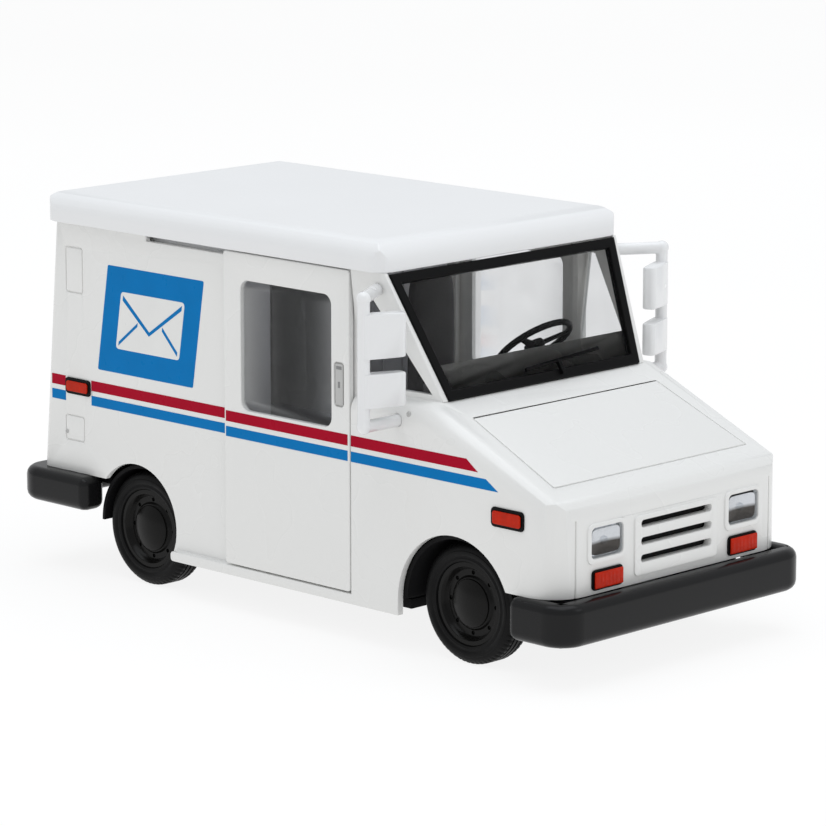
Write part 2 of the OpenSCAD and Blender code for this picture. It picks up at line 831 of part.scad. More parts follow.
module chassis_base() {
    wall_y = rear_axle_y + tyre_r + 0.6;
    color(black) {
        difference() {
            union() {
                box([-rail_half, nose_y + 0.9, chassis_z0], [rail_half, wall_y, chassis_z1]);
                box([-chassis_half, front_arch_y + front_arch_r + 0.5, chassis_z0],
                    [chassis_half, rear_axle_y - tyre_r - 1.4, chassis_z1]);
                box([-rail_half, wall_y - e, chassis_z0], [rail_half, wall_y + 1.4, rear_bumper_z1]);
                box([-chassis_half + 0.4, wall_y, rear_plate_z0],
                    [chassis_half - 0.4, rear_low_y - wall - 1.4, rear_bumper_z1]);
            }
            translate([0, screw_front_y, 0]) cylinder(r = screw_shank_r + 0.02, h = chassis_z1 + 1);
            translate([0, screw_rear_y, 0]) cylinder(r = screw_shank_r + 0.02, h = rear_bumper_z1 + 1);
            // recesses of the screw heads
            translate([0, screw_front_y, 0]) cylinder(r = screw_head_r + 0.05, h = chassis_z0 + screw_sink);
            translate([0, screw_rear_y, 0]) cylinder(r = screw_head_r + 0.05, h = rear_plate_z0 + screw_sink);
        }
        bearing(front_axle_y);
        bearing(rear_axle_y);
    }
}

// One wheel well: arch skin with a closed inner side
module liner(y, z, r_out, r_in, x1, hole_y) {
    difference() {
        union() {
            intersection() {
                side_slab(liner_in, x1) difference() {
                    translate([y, z]) circle(r_out);
                    translate([y, z]) circle(r_in);
                }
                box([liner_in, y - r_out - 1, z], [x1, y + r_out + 1, z + r_out + 1]);
            }
            intersection() {
                side_slab(liner_in, liner_in + 0.8) union() {
                    translate([y, z]) circle(r_out);
                    translate([y - r_out, chassis_z0]) square([2 * r_out, z - chassis_z0]);
                }
                box([liner_in - 1, y - r_out - 1, chassis_z0], [x1, y + r_out + 1, z + r_out + 1]);
            }
        }
        translate([liner_in - 1, hole_y, tyre_r]) rotate([0, 90, 0]) cylinder(r = axle_r + 0.8, h = 4);
        box([liner_in - 1, hole_y - axle_r - 0.8, 0], [liner_in + 2, hole_y + axle_r + 0.8, tyre_r]);
    }
}

module wheel_well_liners() {
    color(black) both_sides() {
        liner(front_arch_y, front_arch_z, front_arch_r - 0.1, front_arch_r - 0.8, fender_in - 0.05, front_axle_y);
        liner(rear_axle_y, tyre_r, tyre_r + 1.2, tyre_r + 0.6, panel_in - 0.05, rear_axle_y);
    }
}

module screw(z) {
    translate([0, 0, z + screw_sink - 0.8]) difference() {
        cylinder(r = screw_head_r, h = 0.8);
        for (a = [0, 90])
            rotate([0, 0, a]) translate([-1, -0.15, -1]) cube([2, 0.3, 1.4]);
    }
    translate([0, 0, z + screw_sink - e]) cylinder(r = screw_shank_r, h = 4 - screw_sink);
}

module chassis_screws() {
    color(steel) {
        translate([0, screw_front_y, 0]) screw(chassis_z0);
        translate([0, screw_rear_y, 0]) screw(rear_plate_z0);
    }
}

module bumper_plan(front, depth, t, in_half) {
    difference() {
        intersection() {
            round_rect([-bumper_half, -half_l], [bumper_half, -half_l + depth + 10], bumper_corner_r);
            translate([-bumper_half, -half_l]) square([2 * bumper_half, depth]);
        }
        translate([-in_half, -half_l + t]) square([2 * in_half, depth]);
    }
}

module front_bumper() {
    color(black) flat_slab(front_bumper_z0, front_bumper_z1)
        bumper_plan(true, 11.6, bumper_reach + 0.9, 24.5);
}

module rear_bumper() {
    color(black) flat_slab(rear_bumper_z0, rear_bumper_z1) mirror([0, 1])
        bumper_plan(false, 17.1, 6.25, 23.2);
}

// ---------- interior ----------

module cab_floor() {
    color(grey) box([-chassis_half + 0.2, front_arch_y + front_arch_r + 0.6, chassis_z1],
        [chassis_half - 0.2, door_rear_y - 0.6, chassis_z1 + 0.9]);
}

module cargo_floor() {
    color(grey) box([-panel_in + 1, door_rear_y + 0.4, floor_z], [panel_in - 1, rear_top_y - 1.2, floor_z + 0.8]);
}

module bulkhead() {
    y0 = door_rear_y - 0.6;
    color(grey) difference() {
        box([-panel_in + 1.2, y0, chassis_z1], [panel_in - 1.2, y0 + 1, roof_under_z]);
        // walk-through opening
        front_slab(y0 - 1, y0 + 2) round_rect([-17, chassis_z1 + 14], [1, roof_under_z - 4], 1.5);
        // pressed ribs
        for (x = [6, 10.5, 15])
            front_slab(y0 - 1, y0 + 0.35) round_rect([x, 26], [x + 2.4, 50], 0.8);
    }
}

module dashboard() {
    y1 = dash_y;
    color(black) difference() {
        side_slab(-20.8, 20.8) polygon([
            [y1, 31],
            [y1, 41.2],
            [y1 - 4.6, 41.2],
            [screen_foot_y + 2, 38.4],
            [screen_foot_y + 2, 31]
        ]);
        // round dials
        for (x = [driver_x - 2.2, driver_x + 2.2])
            translate([x, y1 - 0.3, 38.9]) rotate([-90, 0, 0]) cylinder(r = 1.5, h = 1);
    }
}

module dash_tray() {
    y1 = dash_y;
    color(grey) difference() {
        box([-17, y1 - 4.4, 41.2], [2, y1 + 1.6, 43]);
        box([-16.4, y1 - 3.8, 41.8], [1.4, y1 + 1, 44]);
    }
}

module steering_column() {
    color(black) difference() {
        steer_place() translate([0, 0, -12]) cylinder(r = 0.9, h = 11.4);
        box([driver_x - 3, screen_foot_y, 20], [driver_x + 3, dash_y, 50]);
    }
}

steer_y = dash_y + 4.5;
steer_z = 41;
steer_tilt = 33;

module steer_place() {
    translate([driver_x, steer_y, steer_z]) rotate([-steer_tilt, 0, 0]) children();
}

module steering_wheel() {
    rim = 0.55;
    color(black) steer_place() {
        rotate_extrude() translate([steer_r - rim, 0]) circle(rim);
        translate([0, 0, -0.6]) cylinder(r = 1.5, h = 1);
        for (a = [90, 210, 330])
            rotate([0, 0, a]) translate([0, -0.45, -0.45]) cube([steer_r - rim, 0.9, 0.6]);
    }
}

module driver_seat() {
    seat_y = 2.5;
    color(black) {
        // pedestal, cushion and back
        box([driver_x - 3, seat_y - 6, chassis_z1 + 0.9], [driver_x + 3, seat_y, 20]);
        side_slab(driver_x - 5, driver_x + 5) round_rect([seat_y - 9, 20 - e], [seat_y + 2, 23.6], 1.4);
        front_slab(seat_y - 0.6, seat_y + 2) round_rect([driver_x - 4.6, 22], [driver_x + 4.6, seat_top_z], 2);
    }
}

// ---------- wheels and axles ----------

module axle(y) {
    translate([-track_half + 2, y, tyre_r]) rotate([0, 90, 0]) cylinder(r = axle_r, h = 2 * track_half - 4);
}

module front_axle() {
    color(steel) axle(front_axle_y);
}

module rear_axle() {
    color(steel) axle(rear_axle_y);
}

// Left wheel pieces stand at the origin with the outer face at z = 0
module tyre_shape() {
    w = tyre_w;
    rotate_extrude() polygon([
        [rim_r, -w],
        [tyre_r - 1.1, -w],
        [tyre_r - 0.25, -w + 0.35],
        [tyre_r, -w + 1.1],
        [tyre_r, -1.1],
        [tyre_r - 0.25, -0.35],
        [tyre_r - 1.1, 0],
        [tyre_r - 1.5, -0.12],
        [rim_r + 0.5, -0.12],
        [rim_r, -0.35]
    ]);
}

module hub_shape() {
    w = tyre_w;
    dish = 1.5;
    difference() {
        union() {
            rotate_extrude() polygon([
                [0, -w + 0.6],
                [rim_r, -w + 0.6],
                [rim_r, -0.45],
                [rim_r - 0.7, -0.45],
                [rim_r - 1.3, -dish],
                [cap_r + 0.5, -dish],
                [cap_r + 0.2, -dish + 0.4],
                [0, -dish + 0.4]
            ]);
            // domed cap
            intersection() {
                translate([0, 0, -10.1]) rotate([90, 0, 0]) sphere(r = 10);
                translate([0, 0, -dish + 0.2]) cylinder(r = cap_r, h = 3);
            }
        }
        translate([0, 0, -w - 1]) cylinder(r = axle_r, h = w - 1);
        for (a = [0 : 45 : 315])
            rotate([0, 0, a]) translate([(rim_r + cap_r) / 2 - 0.4, 0, -dish - 0.4]) cylinder(r = 0.3, h = 2);
    }
}

module place_wheel(side, y) {
    translate([side * track_half, y, tyre_r]) rotate([0, side * 90, 0]) children();
}

module front_right_hub() {
    color(black) place_wheel(-1, front_axle_y) hub_shape();
}

module front_right_tyre() {
    color(black) place_wheel(-1, front_axle_y) tyre_shape();
}

module front_left_hub() {
    color(black) place_wheel(1, front_axle_y) hub_shape();
}

module front_left_tyre() {
    color(black) place_wheel(1, front_axle_y) tyre_shape();
}

module rear_right_hub() {
    color(black) place_wheel(-1, rear_axle_y) hub_shape();
}

module rear_right_tyre() {
    color(black) place_wheel(-1, rear_axle_y) tyre_shape();
}

module rear_left_hub() {
    color(black) place_wheel(1, rear_axle_y) hub_shape();
}

module rear_left_tyre() {
    color(black) place_wheel(1, rear_axle_y) tyre_shape();
}

// ---------- drawing ----------

body_shell();
roof_panel();
right_door();
left_door();
right_door_window();
left_door_window();
windscreen_seal();
windscreen_glass();
right_quarter_window();
left_quarter_window();
windscreen_wiper();
rear_door();
rear_door_handle();
rear_door_window();
grille_insert();
right_headlamp();
left_headlamp();
headlamp_reflectors();
right_turn_signal();
left_turn_signal();
turn_signal_frames();
front_side_markers();
rear_side_markers();
side_marker_frames();
right_tail_lamp();
left_tail_lamp();
right_mirror();
left_mirror();
mirror_glasses();
chassis_base();
wheel_well_liners();
chassis_screws();
front_bumper();
rear_bumper();
cab_floor();
cargo_floor();
bulkhead();
dashboard();
dash_tray();
driver_seat();
steering_column();
steering_wheel();
front_axle();
rear_axle();
front_right_hub();
front_right_tyre();
front_left_hub();
front_left_tyre();
rear_right_hub();
rear_right_tyre();
rear_left_hub();
rear_left_tyre();
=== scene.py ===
"""Looks of the toy mail delivery truck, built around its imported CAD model.

Metres, in the CAD model's frame: the nose faces -Y, +X is the truck's left side, +Z is up and the
origin is on the ground under the middle. Sizes in this file are written in millimetres times MM.
"""
import json
import math

import bmesh
import bpy
from mathutils import Matrix, Vector
from mathutils.bvhtree import BVHTree


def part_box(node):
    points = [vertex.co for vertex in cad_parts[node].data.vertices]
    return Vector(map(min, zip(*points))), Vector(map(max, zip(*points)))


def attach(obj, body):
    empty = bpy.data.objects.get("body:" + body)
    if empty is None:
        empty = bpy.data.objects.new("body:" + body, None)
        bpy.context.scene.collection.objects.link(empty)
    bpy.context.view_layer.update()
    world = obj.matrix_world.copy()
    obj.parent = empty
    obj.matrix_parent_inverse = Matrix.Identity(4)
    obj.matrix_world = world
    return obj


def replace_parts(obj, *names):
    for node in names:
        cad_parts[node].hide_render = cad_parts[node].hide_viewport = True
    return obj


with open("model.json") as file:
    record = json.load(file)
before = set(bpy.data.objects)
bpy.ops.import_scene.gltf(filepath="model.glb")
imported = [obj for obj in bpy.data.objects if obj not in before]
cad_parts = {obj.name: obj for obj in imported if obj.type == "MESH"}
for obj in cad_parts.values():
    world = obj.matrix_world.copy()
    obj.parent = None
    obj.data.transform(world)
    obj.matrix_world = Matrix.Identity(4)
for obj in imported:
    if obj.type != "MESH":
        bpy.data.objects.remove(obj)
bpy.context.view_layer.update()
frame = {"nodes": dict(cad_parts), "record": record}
NODES = frame["nodes"]
BODY_OF = {node: body for body, members in frame["record"]["behaviour"]["bodies"].items() for node in members}
MM = 0.001
RIGHT, LEFT = -1, 1
SIDE_NAMES = {RIGHT: "right", LEFT: "left"}

# Limits shared by all that is made from a CAD node's mesh
MERGE_DISTANCE = 0.0002 * MM  # points closer than this are one point
FLAT_ANGLE = math.radians(0.5)  # faces that meet at less than this are one face
CREASE_ANGLE = math.radians(40)  # edges that turn more than this are rounded

# Linear colours
WHITE = (0.80, 0.80, 0.785)
ROOF_WHITE = (0.83, 0.835, 0.84)
STRIPE_RED = (0.38, 0.0, 0.018)
STRIPE_BLUE = (0.0, 0.175, 0.48)
LAMP_RED = (0.50, 0.017, 0.002)
BLACK = (0.0075, 0.0075, 0.008)
RUBBER = (0.005, 0.005, 0.0051)
GREY = (0.56, 0.56, 0.58)
# painted reflection: the headlamp bowls' colour changes from dark to bright between these heights
LAMP_REFLECTION_SPLIT_Z = (20.7, 21.3)  # the lamp bowls go from dark to bright between these heights


# ---------- materials ----------

class Tree:
    """A material's node tree, with short calls."""

    def __init__(self, name):
        self.material = bpy.data.materials.new(name)
        self.material.use_nodes = True
        self.nodes = self.material.node_tree.nodes
        self.links = self.material.node_tree.links
        self.nodes.clear()
        self.place = self.add("ShaderNodeTexCoord").outputs["Object"]

    def add(self, kind, values=None, **settings):
        node = self.nodes.new(kind)
        for key, value in settings.items():
            setattr(node, key, value)
        for key, value in (values or {}).items():
            if isinstance(value, bpy.types.NodeSocket):
                self.links.new(value, node.inputs[key])
            else:
                node.inputs[key].default_value = value
        return node

    def noise(self, size_mm, detail=2.0, place=None):
        """Noise whose features are about size_mm across."""
        values = {"Vector": place or self.place, "Scale": 1 / (size_mm * MM), "Detail": detail}
        return self.add("ShaderNodeTexNoise", values).outputs["Fac"]

    def stretched(self, x, y, z):
        """Object coordinates scaled along each axis."""
        return self.add("ShaderNodeMapping", {"Vector": self.place, "Scale": (x, y, z)}).outputs["Vector"]

    def ramp(self, factor, low, high):
        """Maps the usual range of a noise, 0.2 to 0.8, onto low to high."""
        values = {"Value": factor, "From Min": 0.2, "From Max": 0.8, "To Min": low, "To Max": high}
        return self.add("ShaderNodeMapRange", values).outputs["Result"]

    def blend(self, factor, first, second):
        """Colour between first and second."""
        node = self.add("ShaderNodeMix", data_type="RGBA")
        for key, value in ((0, factor), (6, first), (7, second)):
            if isinstance(value, bpy.types.NodeSocket):
                self.links.new(value, node.inputs[key])
            else:
                node.inputs[key].default_value = value if key == 0 else (*value, 1)
        return node.outputs[2]

    def bump(self, height, depth_mm):
        values = {"Height": height, "Strength": 1.0, "Distance": depth_mm * MM}
        return self.add("ShaderNodeBump", values).outputs["Normal"]

    def finish(self, shader):
        out = self.add("ShaderNodeOutputMaterial")
        self.links.new(shader, out.inputs["Surface"])
        return self.material

    def principled(self, values):
        """Ends the tree in one Principled shader."""
        return self.finish(self.add("ShaderNodeBsdfPrincipled", values).outputs["BSDF"])


def scaled(colour, k):
    return tuple(min(1.0, c * k) for c in colour)


def moulded(name, colour, rough, grain_mm=0.5, grain=0.0015, tint=0.03, drift_mm=16, coat=0.0, shine=0.5):
    """Paint or moulded plastic: fine surface grain, with slight drift in colour and gloss."""
    tree = Tree(name)
    drift = tree.noise(drift_mm, 3)
    values = {
        "Base Color": tree.blend(tree.ramp(drift, 0, 1), scaled(colour, 1 - tint), scaled(colour, 1 + tint)),
        "Roughness": tree.ramp(tree.noise(drift_mm * 0.4, 2), rough * 0.85, rough * 1.15),
        "Normal": tree.bump(tree.noise(grain_mm, 2), grain),
        "Coat Weight": coat,
        "Coat Roughness": 0.08,
        "Specular IOR Level": shine,
    }
    return tree.principled(values)


def clear_plastic(name, tint, rough=0.02, haze=0.0):
    """Thin clear moulding: mostly seen through, with more gloss at glancing angles and a little haze.

    The gloss follows Layer Weight's facing value, which is the same from both sides of the sheet."""
    tree = Tree(name)
    ripple = tree.bump(tree.noise(6, 1), 0.004)
    drift = tree.ramp(tree.noise(12, 2), 0.0, 1.0)
    through = tree.add("ShaderNodeBsdfTransparent", {"Color": tree.blend(drift, scaled(tint, 0.9), tint)})
    gloss = tree.add("ShaderNodeBsdfGlossy", {"Color": (1, 1, 1, 1), "Roughness": rough, "Normal": ripple})
    dull = tree.add("ShaderNodeBsdfDiffuse", {"Color": (*scaled(tint, 0.8), 1), "Normal": ripple})
    body = tree.add("ShaderNodeMixShader", {0: haze, 1: through.outputs[0], 2: dull.outputs[0]})
    facing = tree.add("ShaderNodeLayerWeight", {"Blend": 0.5}).outputs["Facing"]
    steep = tree.add("ShaderNodeMath", {0: facing, 1: 5.0}, operation="POWER").outputs[0]
    limits = {"Value": steep, "To Min": 0.003, "To Max": 0.45}
    share = tree.add("ShaderNodeMapRange", limits).outputs["Result"]
    mixed = tree.add("ShaderNodeMixShader", {0: share, 1: body.outputs[0], 2: gloss.outputs[0]})
    return tree.finish(mixed.outputs[0])


def lens_plastic(name, colour):
    """Coloured lamp lens with a fine moulded grid of prisms under a glossy face."""
    tree = Tree(name)
    pitch = 0.62 * MM
    bands_per_unit = 10 / math.pi  # what a wave texture draws at scale 1
    waves = []
    for axis in ("X", "Y", "Z"):
        values = {"Vector": tree.place, "Scale": 1 / (bands_per_unit * pitch), "Distortion": 0.0}
        waves.append(tree.add("ShaderNodeTexWave", values, bands_direction=axis).outputs["Fac"])
    grid = waves[0]
    for wave in waves[1:]:
        grid = tree.add("ShaderNodeMath", {0: grid, 1: wave}, operation="ADD").outputs[0]
    drift = tree.ramp(tree.noise(1.6, 2), 0, 1)
    values = {
        "Base Color": tree.blend(drift, scaled(colour, 0.82), scaled(colour, 1.12)),
        "Roughness": tree.ramp(tree.noise(2.5, 2), 0.16, 0.28),
        "Normal": tree.bump(grid, 0.012),
        "Specular IOR Level": 0.12,
    }
    return tree.principled(values)


def metal(name, colour, rough, stretch=(1, 1, 1), grain=0.001):
    """Bright metal with fine lines along the axes that stretch squeezes."""
    tree = Tree(name)
    lines = tree.noise(0.25, 3, tree.stretched(*stretch))
    values = {
        "Base Color": tree.blend(tree.ramp(lines, 0, 1), scaled(colour, 0.93), scaled(colour, 1.04)),
        "Roughness": tree.ramp(lines, rough * 0.8, rough * 1.2),
        "Normal": tree.bump(lines, grain),
        "Metallic": 1.0,
    }
    return tree.principled(values)


def lamp_bowl_painted_reflection(name):
    """Lamp bowl with a painted reflection: its foil colour is bright above and dark in its lower part."""
    tree = Tree(name)
    # painted reflection: the base colour is dark low in the bowl and bright above
    z = tree.add("ShaderNodeSeparateXYZ", {"Vector": tree.place}).outputs["Z"]
    values = {"Value": z, "From Min": LAMP_REFLECTION_SPLIT_Z[0] * MM, "From Max": LAMP_REFLECTION_SPLIT_Z[1] * MM}
    height = tree.add("ShaderNodeMapRange", values).outputs["Result"]
    flutes = tree.noise(0.35, 2, tree.stretched(1, 1, 0.15))
    values = {
        "Base Color": tree.blend(height, (0.07, 0.062, 0.055), (0.75, 0.76, 0.78)),
        "Roughness": tree.ramp(flutes, 0.12, 0.3),
        "Normal": tree.bump(flutes, 0.03),
        "Metallic": 1.0,
    }
    return tree.principled(values)


def rubber(name):
    """Tyre rubber: dull, with dusty patches and a fine pebble."""
    tree = Tree(name)
    dust = tree.ramp(tree.noise(3.5, 4), 0, 1)
    values = {
        "Base Color": tree.blend(dust, scaled(RUBBER, 0.8), scaled(RUBBER, 1.6)),
        "Roughness": tree.ramp(tree.noise(1.2, 3), 0.38, 0.52),
        "Normal": tree.bump(tree.noise(0.22, 3), 0.006),
        "Specular IOR Level": 0.1,
    }
    return tree.principled(values)


def seat_vinyl(name):
    """Black moulded vinyl with a cell-like leather grain."""
    tree = Tree(name)
    spread = {"Vector": tree.place, "Scale": 1 / (0.5 * MM)}
    cells = tree.add("ShaderNodeTexVoronoi", spread).outputs["Distance"]
    values = {
        "Base Color": tree.blend(tree.ramp(cells, 0, 1), (0.024, 0.022, 0.024), (0.04, 0.037, 0.04)),
        "Roughness": tree.ramp(tree.noise(2, 3), 0.42, 0.6),
        "Normal": tree.bump(cells, 0.02),
    }
    return tree.principled(values)


# moulded takes: name, colour, roughness, grain size and depth in mm, colour change and its size in mm
MATERIALS = {
    "body_paint": moulded("body_paint", WHITE, 0.28, 0.9, 0.0008, 0.005, 30, coat=0.2),
    "roof_plastic": moulded("roof_plastic", ROOF_WHITE, 0.33, 0.8, 0.001, 0.005, 30, coat=0.1),
    "mirror_plastic": moulded("mirror_plastic", ROOF_WHITE, 0.25, 0.7, 0.001, 0.006, coat=0.2),
    "stripe_red": moulded("stripe_red", STRIPE_RED, 0.3, 0.3, 0.0008, 0.05, 5, shine=0.06),
    "stripe_blue": moulded("stripe_blue", STRIPE_BLUE, 0.3, 0.3, 0.0008, 0.05, 5, shine=0.06),
    "print_white": moulded("print_white", WHITE, 0.3, 0.3, 0.0008, 0.02, 5, shine=0.3),
    "gloss_black": moulded("gloss_black", BLACK, 0.24, 0.45, 0.002, 0.12, shine=0.2),
    "satin_black": moulded("satin_black", scaled(BLACK, 0.5), 0.4, 0.35, 0.003, 0.12, shine=0.08),
    "matte_black": moulded("matte_black", scaled(BLACK, 0.8), 0.62, 0.3, 0.005, 0.15, shine=0.1),
    "hub_black": moulded("hub_black", (0.0045, 0.0043, 0.004), 0.22, 0.35, 0.002, 0.12, 6, shine=0.14),
    "cabin_grey": moulded("cabin_grey", GREY, 0.5, 0.4, 0.003, 0.05),
    "tray_grey": moulded("tray_grey", (0.12, 0.115, 0.11), 0.5, 0.4, 0.003, 0.08),
    "clear_window": clear_plastic("clear_window", (0.94, 0.945, 0.955), haze=0.012),
    "windscreen": clear_plastic("windscreen", (0.985, 0.985, 0.98), haze=0.003),
    "lamp_clear": clear_plastic("lamp_clear", (0.93, 0.94, 0.95), 0.03, 0.02),
    "lamp_red": lens_plastic("lamp_red", LAMP_RED),
    # painted shade in the door handles' recesses; the same grey is also the studs' own colour
    "stud_grey_and_painted_recess_shade": moulded("stud_grey_and_painted_recess_shade", (0.50, 0.50, 0.49), 0.4, 0.3, 0.002, 0.05, 4),
    # darker painted shade in the door handles' finger notches
    "notch_painted_shade": moulded("notch_painted_shade", (0.22, 0.22, 0.22), 0.4, 0.3, 0.002, 0.05, 4),
    # painted reflection in the headlamp bowls' colour
    "lamp_bowl_painted_reflection": lamp_bowl_painted_reflection("lamp_bowl_painted_reflection"),
    "chrome": metal("chrome", (0.78, 0.79, 0.8), 0.1, grain=0.0004),
    "mirror_silver": metal("mirror_silver", (0.82, 0.83, 0.85), 0.05, grain=0.0002),
    "axle_steel": metal("axle_steel", (0.55, 0.55, 0.56), 0.32, (0.1, 1, 1)),
    "tyre_rubber": rubber("tyre_rubber"),
    "seat_vinyl": seat_vinyl("seat_vinyl"),
}


# ---------- mesh helpers ----------

def paint(obj, material):
    obj.data.materials.clear()
    obj.data.materials.append(MATERIALS[material])


def new_piece(name, bm, material, body, smooth_deg=35):
    """Makes an object from bm, with smooth shading under smooth_deg, and lets it ride on a CAD body."""
    bmesh.ops.recalc_face_normals(bm, faces=bm.faces)
    mesh = bpy.data.meshes.new(name)
    bm.to_mesh(mesh)
    bm.free()
    mesh.shade_smooth()
    mesh.set_sharp_from_angle(angle=math.radians(smooth_deg))
    obj = bpy.data.objects.new(name, mesh)
    bpy.context.scene.collection.objects.link(obj)
    paint(obj, material)
    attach(obj, body)
    return obj


def soften(node, width_mm, segments=2):
    """Rounds a CAD node's sharp edges with modifiers, and evens its shading. The node's own mesh stays."""
    obj = NODES[node]
    obj.modifiers.new("weld", "WELD").merge_threshold = MERGE_DISTANCE
    flat = obj.modifiers.new("flat", "DECIMATE")
    flat.decimate_type = "DISSOLVE"
    flat.angle_limit = FLAT_ANGLE
    bevel = obj.modifiers.new("bevel", "BEVEL")
    bevel.width = width_mm * MM
    bevel.segments = segments
    bevel.limit_method = "ANGLE"
    bevel.angle_limit = CREASE_ANGLE
    bevel.use_clamp_overlap = False
    obj.modifiers.new("shading", "WEIGHTED_NORMAL").weight = 60


def cad_copy(node, join_flat=True):
    """A mesh with a CAD node's shape, its double points merged and, with join_flat, its flat faces joined."""
    bm = bmesh.new()
    bm.from_mesh(NODES[node].data)
    bmesh.ops.remove_doubles(bm, verts=bm.verts, dist=MERGE_DISTANCE)
    if join_flat:
        bmesh.ops.dissolve_limit(bm, angle_limit=FLAT_ANGLE, verts=bm.verts, edges=bm.edges)
    return bm


def creases(bm):
    """The edges where the surface turns sharply."""
    return [e for e in bm.edges if e.calc_face_angle(0) > CREASE_ANGLE]


def edges_between(bm, verts):
    """The edges between some of bm's points, in bm's own order, so that each run gives the same mesh."""
    wanted = set(verts)
    return [e for e in bm.edges if all(v in wanted for v in e.verts)]


def round_edges(bm, edges, width_mm, segments, clamp):
    """Rounds edges. With clamp, the width gives way where there is no room for it."""
    bmesh.ops.bevel(
        bm, geom=edges, offset=width_mm * MM, segments=segments, profile=0.5, affect="EDGES",
        clamp_overlap=clamp,
    )


def bridge(bm, first, second):
    """Joins two closed rings of points with one face for each step."""
    count = len(first)
    for k in range(count):
        following = (k + 1) % count
        bm.faces.new((first[k], first[following], second[following], second[k]))


def lathe(bm, profile, centre, side, steps, shape):
    """Turns a closed (radius, depth) outline, in mm, about a wheel's axis.

    Depth runs inward from the outer face. shape(step, i, radius, depth) gives each point its radius and
    depth, to cut tread into the outline."""
    rings = []
    for step in range(steps):
        a = 2 * math.pi * step / steps
        ring = []
        for i, point in enumerate(profile):
            radius, depth = shape(step, i, *point)
            offset = Vector((-side * depth, radius * math.cos(a), radius * math.sin(a))) * MM
            ring.append(bm.verts.new(centre + offset))
        rings.append(ring)
    for k, ring in enumerate(rings):
        bridge(bm, ring, rings[(k + 1) % steps])


def rounded_box(bm, low, high, radius_mm, segments=3):
    """Adds a box between two corners in mm, with rounded edges."""
    low, high = Vector(low) * MM, Vector(high) * MM
    made = bmesh.ops.create_cube(bm, size=1)["verts"]
    for v in made:
        v.co = Vector(((high[i] + low[i]) / 2 + v.co[i] * (high[i] - low[i]) for i in range(3)))
    round_edges(bm, edges_between(bm, made), radius_mm, segments, clamp=True)


def rounded_outline(points, radius, steps=5):
    """Rounds each corner of a closed outline of 2-D points."""
    out = []
    for i, here in enumerate(points):
        before, after = Vector(points[i - 1]), Vector(points[(i + 1) % len(points)])
        here = Vector(here)
        u, w = (before - here).normalized(), (after - here).normalized()
        wanted = radius / math.tan(max(u.angle(w), 0.1) / 2)
        cut = min(wanted, (before - here).length / 2, (after - here).length / 2)
        start, end = here + u * cut, here + w * cut
        for k in range(steps + 1):
            t = k / steps
            out.append(tuple(start * (1 - t) ** 2 + here * 2 * t * (1 - t) + end * t ** 2))
    return out


def surface_of(node):
    """A search tree over a CAD node's mesh."""
    mesh = NODES[node].data
    points = [v.co.copy() for v in mesh.vertices]
    return BVHTree.FromPolygons(points, [tuple(p.vertices) for p in mesh.polygons])


OUTSIDE_X = 60 * MM  # well outside the truck, where the rays towards its sides start


def side_point(surface, side, y, z):
    """The outermost point of a surface on one side of the truck, at a height and a place along it."""
    return surface.ray_cast(Vector((side * OUTSIDE_X, y, z)), Vector((-side, 0, 0)))[0]


PRINT_CELL = 1.5  # mm; a print is cut into cells of this size, so that it follows the panel under it
PRINT_ROOT = 0.02  # mm that a print reaches into the panel


def printed(name, outline, side, surface, proud_mm, material, body):
    """A printed layer: a closed (y, z) outline in mm laid on the side of the truck as a very thin solid."""
    bm = bmesh.new()
    bm.faces.new([bm.verts.new((0, y * MM, z * MM)) for y, z in outline])
    for axis in (0, 1):
        low, high = min(p[axis] for p in outline), max(p[axis] for p in outline)
        normal = Vector((0, 1 - axis, axis))
        for k in range(1, int((high - low) / PRINT_CELL) + 1):
            cut = normal * (low + k * PRINT_CELL) * MM
            geom = bm.verts[:] + bm.edges[:] + bm.faces[:]
            bmesh.ops.bisect_plane(bm, geom=geom, plane_co=cut, plane_no=normal, dist=1e-7)
    for v in bm.verts:
        v.co.x = side_point(surface, side, v.co.y, v.co.z).x + side * proud_mm * MM
    for item in bmesh.ops.extrude_face_region(bm, geom=bm.faces[:])["geom"]:
        if isinstance(item, bmesh.types.BMVert):
            item.co.x -= side * (proud_mm + PRINT_ROOT) * MM
    new_piece(name, bm, material, body, 30)


# ---------- finish of the CAD nodes ----------

FINISHES = {
    "rear_door": ("body_paint", 0.12),
    "roof_panel": ("roof_plastic", 0.2),
    "right_quarter_window": ("clear_window", 0.1),
    "left_quarter_window": ("clear_window", 0.1),
    "rear_door_window": ("clear_window", 0.1),
    "windscreen_glass": ("windscreen", 0.1),
    "right_headlamp": ("lamp_clear", 0.15),
    "left_headlamp": ("lamp_clear", 0.15),
    "windscreen_seal": ("satin_black", 0.2),
    "windscreen_wiper": ("satin_black", 0.05),
    "turn_signal_frames": ("satin_black", 0.1),
    "side_marker_frames": ("satin_black", 0.1),
    "rear_door_handle": ("satin_black", 0.12),
    "front_side_markers": ("lamp_red", 0.12),
    "rear_side_markers": ("lamp_red", 0.12),
    "right_tail_lamp": ("lamp_red", 0.15),
    "left_tail_lamp": ("lamp_red", 0.15),
    "mirror_glasses": ("mirror_silver", 0.05),
    "grille_insert": ("matte_black", 0.05),
    "chassis_base": ("matte_black", 0.12),
    "wheel_well_liners": ("matte_black", 0.08),
    "chassis_screws": ("axle_steel", 0.06),
    "front_bumper": ("gloss_black", 1.5),
    "rear_bumper": ("gloss_black", 1.5),
    "cab_floor": ("matte_black", 0.1),
    "cargo_floor": ("cabin_grey", 0.1),
    "bulkhead": ("cabin_grey", 0.12),
    "steering_column": ("satin_black", 0.06),
    "front_axle": ("axle_steel", 0.15),
    "rear_axle": ("axle_steel", 0.15),
    "front_right_hub": ("hub_black", 0.07),
    "front_left_hub": ("hub_black", 0.07),
    "rear_right_hub": ("hub_black", 0.07),
    "rear_left_hub": ("hub_black", 0.07),
    "headlamp_reflectors": ("chrome", 0.05),
}

